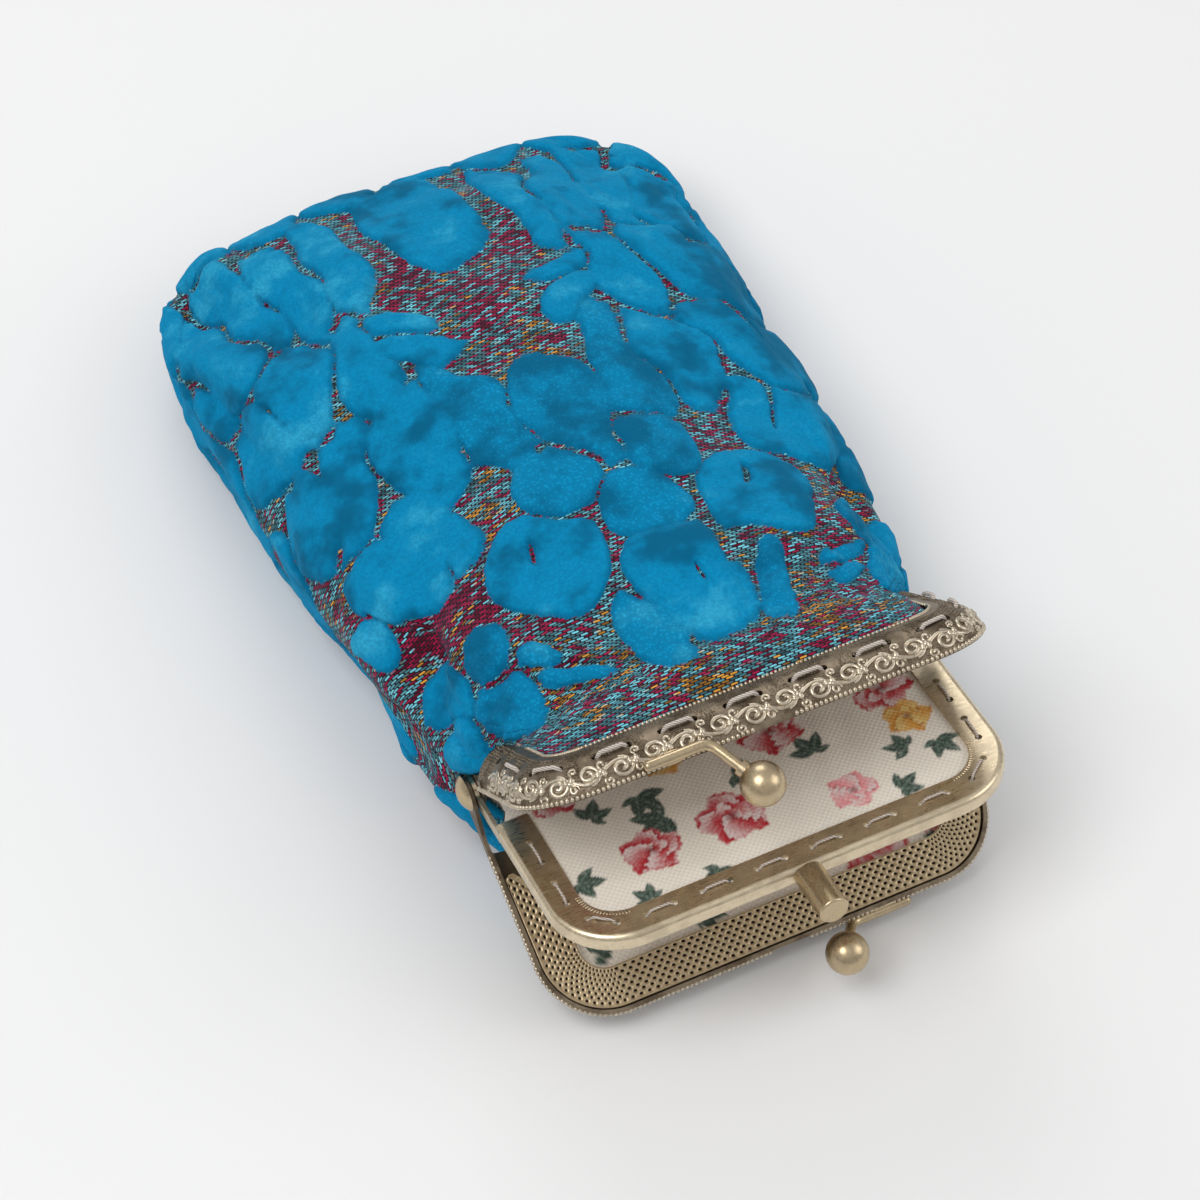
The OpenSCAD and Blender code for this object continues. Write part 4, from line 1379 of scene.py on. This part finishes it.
def frame_turns(along, normal):
    """Euler turns that carry x to along and z to normal."""
    z = normal / np.linalg.norm(normal, axis=1, keepdims=True)
    x = along - (along * z).sum(1, keepdims=True) * z
    x /= np.linalg.norm(x, axis=1, keepdims=True)
    y = np.cross(z, x)
    roll = np.arctan2(y[:, 2], z[:, 2])
    pitch = -np.arcsin(np.clip(x[:, 2], -1, 1))
    return np.stack([roll, pitch, np.arctan2(x[:, 1], x[:, 0])], 1)


def marked_points(places, normals, along, sizes):
    """Points as one mesh, each with its turn and its size across, along and up."""
    seed = mesh_object("seed_points", places, [])
    add_attribute(seed.data, "turn", "FLOAT_VECTOR", frame_turns(along, normals))
    sizes = np.broadcast_to(np.asarray(sizes, float) * MM, (len(places), 3))
    add_attribute(seed.data, "size", "FLOAT_VECTOR", sizes)
    return seed


def marked_lines(lines, thick=None):
    """Open lines as one mesh of edges, with a thickness share for every point."""
    edges, start = [], 0
    for line in lines:
        edges += [(start + k, start + k + 1) for k in range(len(line) - 1)]
        start += len(line)
    seed = mesh_object("seed_lines", np.concatenate(lines), [], edges)
    shares = np.ones(start) if thick is None else np.concatenate(thick)
    add_attribute(seed.data, "thick", "FLOAT", shares)
    return seed


def turned_motif(name, profile, sides):
    """A small closed body of revolution about z, from pairs of radius and height, pole to pole."""
    points = [[0.0, 0.0, profile[0][1]]]
    for r, z in profile[1:-1]:
        points += [[r * math.cos(a), r * math.sin(a), z] for a in np.arange(sides) * 2 * math.pi / sides]
    points.append([0.0, 0.0, profile[-1][1]])
    rings = len(profile) - 2
    faces = []
    for k in range(sides):
        after = (k + 1) % sides
        faces.append([0, 1 + k, 1 + after])
        for ring in range(rings - 1):
            a = 1 + ring * sides
            faces.append([a + k, a + sides + k, a + sides + after, a + after])
        a = 1 + (rings - 1) * sides
        faces.append([len(points) - 1, a + after, a + k])
    mesh = bpy.data.meshes.new(name)
    mesh.from_pydata(points, [], faces)
    motif = bpy.data.objects.new(name, mesh)
    bpy.context.scene.collection.objects.link(motif)
    return motif


ROUND_BEAD = [(0, 1), (0.707, 0.707), (1, 0), (0.707, -0.707), (0, -1)]
FLAT_PEBBLE = [(0, 0.6), (0.7, 0.42), (1, -0.3), (0, -0.6)]
BRAZED_PAD = [(0, 1), (0.5, 0.85), (0.87, 0.5), (1, 0), (0.87, -0.5), (0, -1)]


# ---------- metal finishes ----------

GRAIN_HEIGHT = 0.00006

def brass_material(
    name, low, high, patina, rough, streak=1.0, worn=(0.35, 0.9), bump=0.12, grain_size=1600.0
):
    """Brass that runs from a low to a high tone with its grain, and to patina where it isn't worn."""
    mat, n, surface = new_material(name)
    where = n.place()
    wear = use_group(n, "Pouch Wear", wear_group, Place=where, Streak=streak, Grain_Size=grain_size)
    tone = n.mix(wear.outputs["Grain"], tuple(low), tuple(high))
    tone = n.mix(n.step(wear.outputs["Patina"], 0.1, 1.0, *worn[::-1]), tuple(patina), tone)
    n.join(tone, surface.inputs["Base Color"])
    n.join(n.step(wear.outputs["Grain"], 0.25, 0.75, rough, rough + 0.16), surface.inputs["Roughness"])
    set_plain(surface, Metallic=1.0)
    add_bump(n, surface, wear.outputs["Grain"], bump, GRAIN_HEIGHT)
    return mat


def metal_set(metal):
    """Every metal finish of the pouch and its thread, by name."""
    antique, pale = metal.antique, metal.pale
    return {
        "ground": brass_material("antique_ground", toned(antique, 0.6), antique, metal.patina, 0.38),
        "raised": brass_material("rubbed_brass", antique, metal.raised, antique, 0.24, worn=(0.75, 1.0)),
        "brushed": brass_material(
            "brushed_brass", pale, metal.bright, antique, 0.24,
            streak=0.15, worn=(0.7, 1.0), bump=0.03, grain_size=2600.0,
        ),
        "satin": brass_material(
            "satin_brass", toned(pale, 0.8), pale, antique, 0.24, worn=(0.66, 1.0), bump=0.015
        ),
        "thread": thread_material(),
        "strip": strip_material(metal),
    }


def thread_material():
    mat, n, surface = new_material("sewing_thread")
    where = n.place()
    bands = {"bands_direction": "DIAGONAL"}
    twist = n.add("ShaderNodeTexWave", bands, Vector=where, Scale=900.0, Distortion=1.5)
    fibre = n.noise(where, 2200.0, 3.0)
    # Darker in the twist's grooves: painted shade, on the same bands as the bump.
    tone = n.mix(twist.outputs["Fac"], (0.26, 0.215, 0.18, 1), (0.70, 0.62, 0.55, 1))
    tone = n.mix(n.step(fibre, 0.5, 0.8, 0.0, 0.4), tone, (0.80, 0.74, 0.68, 1))
    n.join(tone, surface.inputs["Base Color"])
    n.join(n.step(fibre, 0.2, 0.8, 0.6, 0.85), surface.inputs["Roughness"])
    set_plain(surface, Sheen_Weight=0.2)
    add_bump(n, surface, twist.outputs["Fac"], 0.5, 0.0001)
    return mat


def strip_material(metal):
    """Tan brass of the strips, with painted shade in their pits."""
    mat, n, surface = new_material("dimpled_strip")
    where = n.place()
    wear = use_group(n, "Pouch Wear", wear_group, Place=where, Grain_Size=1300.0)
    pit = n.attribute("pit")
    tone = n.mix(wear.outputs["Grain"], toned(metal.pale, 0.55), tuple(metal.pale))
    # Painted shade in the pits, in a darkened patina colour.
    n.join(n.mix(n.step(pit, 0.25, 0.6), tone, toned(metal.patina, 0.35)), surface.inputs["Base Color"])
    n.join(n.step(pit, 0.2, 0.7, 0.4, 0.8), surface.inputs["Roughness"])
    set_plain(surface, Metallic=0.85)
    add_bump(n, surface, wear.outputs["Grain"], 0.12, GRAIN_HEIGHT)
    return mat


METALS = {}


def metals(context):
    """The metal finishes, made on the first call."""
    if not METALS:
        METALS.update(metal_set(context.scene.pouch_metal))
    return METALS


# ---------- metal pieces ----------


class POUCH_OT_frame_finish(bpy.types.Operator):
    """Gives the frames, arms, balls, post, rivets and strips their brass finishes"""

    bl_idname = "pouch.frame_finish"
    bl_label = "Frame Finish"

    def execute(self, context):
        finish = {
            "ground": ("front_frame", "back_frame"),
            "brushed": ("middle_frame", "front_inner_strip", "back_inner_strip"),
            "satin": (
                "front_clasp_arm", "front_clasp_ball", "back_clasp_arm", "back_clasp_ball",
                "centre_post", "left_hinge_rivet", "right_hinge_rivet",
            ),
        }
        for name, nodes in finish.items():
            for node in nodes:
                mesh = frame["nodes"][node].data
                mesh.materials.clear()
                mesh.materials.append(metals(context)[name])
        return {"FINISHED"}


# The bold beads' place on the band, the gap they leave for the post, and the bare ends of both rows.
BEAD_ANGLE = math.radians(11.5)
POST_GAP = 3.9
END_EASE = 0.8
BEAD_LIFT = 0.05


class POUCH_OT_beading(bpy.types.Operator):
    """Sets the bold beads on the closing edge and the fine beads on the fabric edge"""

    bl_idname = "pouch.beading"
    bl_label = "Beading"

    def execute(self, context):
        metal = context.scene.pouch_metal
        total = path_length(FRAME_HALF, 0.0)
        for leaf in (FRONT, BACK):
            for label, radius, pitch in (
                ("bold", metal.bead_radius / MM, metal.bead_pitch / MM),
                ("fine", metal.fine_radius / MM, metal.fine_pitch / MM),
            ):
                s = np.arange(END_EASE, total - END_EASE, pitch)
                if label == "bold":
                    s = s[np.abs(s - total / 2) > POST_GAP]
                    place, normal, along = band_place(leaf, s, BEAD_ANGLE + 0 * s, 0.0)
                    place = place + normal * BEAD_LIFT
                else:
                    place = round_frame(leaf, FRAME_HALF, s, CHANNEL_W - 0.1, CHANNEL_TOP + BEAD_LIFT)
                    _, normal, along = band_place(leaf, s, math.pi / 2 + 0 * s)
                marks = marked_points(place, normal, along, (radius, radius, radius))
                scatter(
                    f"{SIDE_NAME[leaf]}_{label}_beads", turned_motif("bead", ROUND_BEAD, 8), marks, leaf,
                    "antique_brass", metals(context)["raised"], spread=0.04, seed=3,
                )
        return {"FINISHED"}


HOLE_INSET = CROWN_R * (1 - math.cos(HOLE_ANGLE))
SCROLL_REPEAT = 13.0
SCROLL_ANGLE = math.radians(32)
SCROLL_WAVE = 1.25
# How deep the scrolls sink into the band, and each small leaf's lean in radians and reach in mm.
SCROLL_SINK = 0.08
SCROLL_LEAVES = ((0.1, 1.6), (0.5, 1.7), (1.2, 1.9), (2.3, 1.6), (2.9, 1.4))
PEBBLE_PITCH = 0.64
PEBBLE_SIZE = (0.27, 0.27, 0.26)
HOLE_CLEAR = 1.7


def scroll_lines():
    """One repeat of the scrollwork, flat: across the repeat and across the band, with thickness shares."""
    x = np.linspace(0, SCROLL_REPEAT, 27)
    stem = np.stack([x, SCROLL_WAVE * np.sin(2 * np.pi * x / SCROLL_REPEAT)], 1)
    lines, thick = [stem], [np.full(len(x), 0.9)]
    for hand, middle in ((1, SCROLL_REPEAT * 0.25), (-1, SCROLL_REPEAT * 0.75)):
        turn = np.linspace(0, 3.1 * math.pi, 30)
        r = np.linspace(2.15, 0.35, 30)
        curl = np.stack([middle + 0.4 + r * np.sin(turn) * 1.1, hand * (-0.35 + r * np.cos(turn) * 0.95)], 1)
        lines.append(curl)
        thick.append(np.linspace(0.85, 1.25, 30))
        turn = np.linspace(0, 2.4 * math.pi, 18)
        r = np.linspace(1.05, 0.2, 18)
        lines.append(np.stack([middle + 3.5 + r * np.cos(turn), hand * (-1.5 + r * np.sin(turn))], 1))
        thick.append(np.linspace(0.6, 0.9, 18))
        tendril = hand * (-1.9 + r * 0.8 * np.sin(turn + 2))
        lines.append(np.stack([middle - 2.6 + r * np.cos(turn + 2), tendril], 1))
        thick.append(np.linspace(0.55, 0.85, 18))
        for lean, reach in SCROLL_LEAVES:
            t = np.linspace(0, 1, 7)
            across = hand * (0.5 - t * reach * math.sin(lean) * 0.9)
            lines.append(np.stack([middle + 2.6 + t * reach * math.cos(lean), across], 1))
            thick.append(0.35 + 1.2 * np.sin(np.pi * t**0.8))
    return lines, thick


class POUCH_OT_scrollwork(bpy.types.Operator):
    """Raises the scrollwork and the pebbled ground round both outer bands"""

    bl_idname = "pouch.scrollwork"
    bl_label = "Scrollwork"

    def execute(self, context):
        radius = context.scene.pouch_metal.scroll_radius
        total = path_length(FRAME_HALF, 0.0)
        flat, shares = scroll_lines()
        count = math.floor((total - 2) / SCROLL_REPEAT)
        first = (total - count * SCROLL_REPEAT) / 2
        for leaf in (FRONT, BACK):
            lines, thick = [], []
            for k in range(count):
                for line, share in zip(flat, shares):
                    s = first + k * SCROLL_REPEAT + line[:, 0]
                    place, _, _ = band_place(leaf, s, SCROLL_ANGLE + line[:, 1] / CROWN_R, -SCROLL_SINK)
                    lines.append(place)
                    thick.append(share)
            run_thread(
                SIDE_NAME[leaf] + "_scrolls", marked_lines(lines, thick), leaf, "antique_brass",
                metals(context)["raised"], radius, sides=6,
            )
            self.pebbles(context, leaf, total)
        return {"FINISHED"}

    @staticmethod
    def pebbles(context, leaf, total):
        """Small pebbles over the band, jittered, with bare rings round the sewing holes."""
        rng = np.random.default_rng(8)
        places = np.arange(0.6, total - 0.6, PEBBLE_PITCH)
        s, angle = np.meshgrid(places, np.radians(np.arange(18.5, 82, 4.6)))
        s = (s + rng.uniform(-0.18, 0.18, s.shape)).ravel()
        angle = (angle + rng.uniform(-0.02, 0.02, angle.shape)).ravel()
        holes = hole_distances(FRAME_HALF, 0.0, OUTER_PITCH * total / path_length(FRAME_HALF, HOLE_INSET))
        near = np.abs(s[:, None] - holes[None, :]).min(1)
        clear = (near > HOLE_CLEAR) | (np.abs(angle - HOLE_ANGLE) * CROWN_R > HOLE_CLEAR)
        marks = marked_points(*band_place(leaf, s[clear], angle[clear], 0.02), PEBBLE_SIZE)
        scatter(
            SIDE_NAME[leaf] + "_pebbled_ground", turned_motif("pebble", FLAT_PEBBLE, 5), marks, leaf,
            "antique_brass", metals(context)["ground"], spread=0.3, seed=5,
        )


# How high a stitch lies over the rounded bands and over the flat middle frame.
BAND_STITCH = 0.30
FLAT_STITCH = 0.16


def stitch(start, end, normal, lift):
    """One stitch: up out of its hole, across and down into the next."""
    t = np.linspace(0, 1, 13)[:, None]
    rise = (np.minimum(1, np.minimum(t, 1 - t) * 7) - 0.75) * 2.4
    return start * (1 - t) + end * t + normal * (lift + np.minimum(rise, lift) + 0.12 * np.sin(np.pi * t))


class POUCH_OT_sewing(bpy.types.Operator):
    """Sews the fabric into the frames with thread over every other gap between the holes"""

    bl_idname = "pouch.sewing"
    bl_label = "Sewing"

    def execute(self, context):
        radius = context.scene.pouch_metal.thread_radius
        thread = metals(context)["thread"]
        for leaf in (FRONT, BACK):
            holes = hole_distances(FRAME_HALF, HOLE_INSET, OUTER_PITCH)
            x, out, ix, io = along_path(FRAME_HALF, HOLE_INSET, holes)
            up = CROWN_CENTRE + CROWN_R * math.sin(HOLE_ANGLE)
            at = on_leaf(leaf, x, out, up)
            c, s = math.cos(HOLE_ANGLE), math.sin(HOLE_ANGLE)
            normal = leaf_direction(leaf, -ix * c, -io * c, s + 0 * ix)
            lines = []
            for k in range(1, len(at) - 1, 2):
                lines.append(stitch(at[k], at[k + 1], (normal[k] + normal[k + 1]) / 2, BAND_STITCH))
            marks = marked_lines(lines)
            run_thread(SIDE_NAME[leaf] + "_thread", marks, leaf, "velvet", thread, radius, sides=10)
        holes = hole_distances(MIDDLE_HALF, MIDDLE_HOLE_INSET, MIDDLE_PITCH)
        x, out, _, _ = along_path(MIDDLE_HALF, MIDDLE_HOLE_INSET, holes)
        lines = []
        for face in (1, -1):
            at = on_leaf(MIDDLE, x, out, face * MIDDLE_H / 2)
            normal = leaf_direction(MIDDLE, 0.0, 0.0, float(face))
            lines += [stitch(at[k], at[k + 1], normal, FLAT_STITCH) for k in range(0, len(at) - 1, 2)]
        marks = marked_lines(lines)
        run_thread("divider_thread", marks, MIDDLE, "cotton_print", thread, radius * 0.6, sides=8)
        return {"FINISHED"}


STRIP_START = 17.0
STRIP_PITCH = 1.75
PIT_RADIUS = 0.58
PIT_DEPTH = 0.26


class POUCH_OT_strips(bpy.types.Operator):
    """Presses the pitted face into the strips that line the pocket side of both outer frames"""

    bl_idname = "pouch.strips"
    bl_label = "Pitted Strips"

    def execute(self, context):
        for leaf in (FRONT, BACK):
            self.face(leaf, metals(context)["strip"])
        return {"FINISHED"}

    @staticmethod
    def face(leaf, material):
        """A thin pitted shell over one strip, narrower towards its ends."""
        total = path_length(FRAME_HALF, 0.0)
        start = STRIP_START - EAR + 0.3
        s = np.linspace(start, total - start, 601)[:, None]
        share = np.linspace(0, 1, 31)[None, :]
        reach = np.minimum(1, np.minimum(s - start, total - start - s) / 8)
        inset = 1.2 + share * (0.6 + reach * 7.1)
        s = s + 0 * share
        row = np.floor(inset / (STRIP_PITCH * 0.5))
        near_s = ((s / STRIP_PITCH + 0.5 * (row % 2)) % 1 - 0.5) * STRIP_PITCH
        near_i = (inset / (STRIP_PITCH * 0.5) - row - 0.5) * STRIP_PITCH * 0.5
        pit = np.clip(1 - (near_s / PIT_RADIUS) ** 2 - (near_i / (PIT_RADIUS * 0.62)) ** 2, 0, 1)
        pit *= (share > 0.04) & (share < 0.96)
        top = round_frame(leaf, FRAME_HALF, s, inset, STRIP_Z - 0.42 + PIT_DEPTH * np.sqrt(pit))
        under = round_frame(leaf, FRAME_HALF, s[::2, ::2], inset[::2, ::2], STRIP_Z + 0.05)
        piece = shell(SIDE_NAME[leaf] + "_strip_face", top, under, leaf == BACK)
        add_attribute(piece.data, "pit", "FLOAT", np.r_[pit.ravel(), np.zeros(under[..., 0].size)])
        piece.data.materials.append(material)
        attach(piece, BODY[leaf])


CRIMP_STEP = 4.2
CRIMP_INSET = 6.1
CRIMP_SIZE = (0.62, 0.2, 0.17)
ARM_ANGLE = math.radians(17)
ARM_MIDDLE = 19.8
PAD_SIZE = (3.6, 1.35, 0.75)


class POUCH_OT_small_metal(bpy.types.Operator):
    """Adds the crimps in the middle frame's corners and the brazing under the arms"""

    bl_idname = "pouch.small_metal"
    bl_label = "Crimps and Brazing"

    def execute(self, context):
        self.crimps(metals(context)["brushed"])
        for leaf in (FRONT, BACK):
            self.brazing(leaf, metals(context)["satin"])
        return {"FINISHED"}

    @staticmethod
    def crimps(material):
        s = LEG - CORNER - EAR + CORNER * np.radians(np.arange(4, 87, CRIMP_STEP))
        places, normals, alongs = [], [], []
        for distances in (s, path_length(MIDDLE_HALF, 0.0) - s):
            x, out, ix, io = along_path(MIDDLE_HALF, 0.0, distances)
            for face in (1, -1):
                up = face * (MIDDLE_H / 2 - 0.02)
                places.append(on_leaf(MIDDLE, x + ix * CRIMP_INSET, out + io * CRIMP_INSET, up))
                normals.append(leaf_direction(MIDDLE, 0 * ix, 0 * ix, face + 0 * ix))
                alongs.append(leaf_direction(MIDDLE, ix, io, 0 * ix))
        marks = marked_points(*map(np.concatenate, (places, normals, alongs)), CRIMP_SIZE)
        scatter(
            "middle_crimps", turned_motif("crimp", ROUND_BEAD, 8), marks, MIDDLE,
            "antique_brass", material, spread=0.1, seed=2,
        )

    @staticmethod
    def brazing(leaf, material):
        at = np.array([-ARM_MIDDLE if leaf == FRONT else ARM_MIDDLE])
        s = path_length(FRAME_HALF, 0.0) / 2 + at
        marks = marked_points(*band_place(leaf, s, ARM_ANGLE + 0 * s, 0.1), PAD_SIZE)
        scatter(
            SIDE_NAME[leaf] + "_brazing", turned_motif("brazing", BRAZED_PAD, 20), marks, leaf,
            "pale_brass", material, spread=0.0, seed=1,
        )


class POUCH_PT_panel(bpy.types.Panel):
    """Lists the pouch's makers in the sidebar"""

    bl_idname = "POUCH_PT_panel"
    bl_label = "Pouch"
    bl_space_type = "VIEW_3D"
    bl_region_type = "UI"
    bl_category = "Pouch"

    def draw(self, context):
        for maker in MAKERS:
            self.layout.operator(maker.bl_idname)
        for group in (context.scene.pouch_fabric, context.scene.pouch_metal, context.scene.pouch_stage):
            box = self.layout.box()
            for name in group.bl_rna.properties.keys():
                if name not in ("rna_type", "name"):
                    box.prop(group, name)


# ---------- run ----------

MAKERS = (
    POUCH_OT_stage,
    POUCH_OT_velvet,
    POUCH_OT_lining,
    POUCH_OT_frame_finish,
    POUCH_OT_beading,
    POUCH_OT_scrollwork,
    POUCH_OT_sewing,
    POUCH_OT_strips,
    POUCH_OT_small_metal,
)
GROUPS = (PouchFabric, PouchMetal, PouchStage)


def register():
    for item in (*GROUPS, *MAKERS, POUCH_PT_panel):
        bpy.utils.register_class(item)
    bpy.types.Scene.pouch_fabric = bpy.props.PointerProperty(type=PouchFabric)
    bpy.types.Scene.pouch_metal = bpy.props.PointerProperty(type=PouchMetal)
    bpy.types.Scene.pouch_stage = bpy.props.PointerProperty(type=PouchStage)


def unregister():
    for name in ("pouch_fabric", "pouch_metal", "pouch_stage"):
        delattr(bpy.types.Scene, name)
    for item in reversed((*GROUPS, *MAKERS, POUCH_PT_panel)):
        bpy.utils.unregister_class(item)


def main():
    register()
    bpy.ops.pouch.stage()
    bpy.ops.pouch.velvet()
    bpy.ops.pouch.lining()
    bpy.ops.pouch.frame_finish()
    bpy.ops.pouch.beading()
    bpy.ops.pouch.scrollwork()
    bpy.ops.pouch.sewing()
    bpy.ops.pouch.strips()
    bpy.ops.pouch.small_metal()


if __name__ == "__main__":
    main()
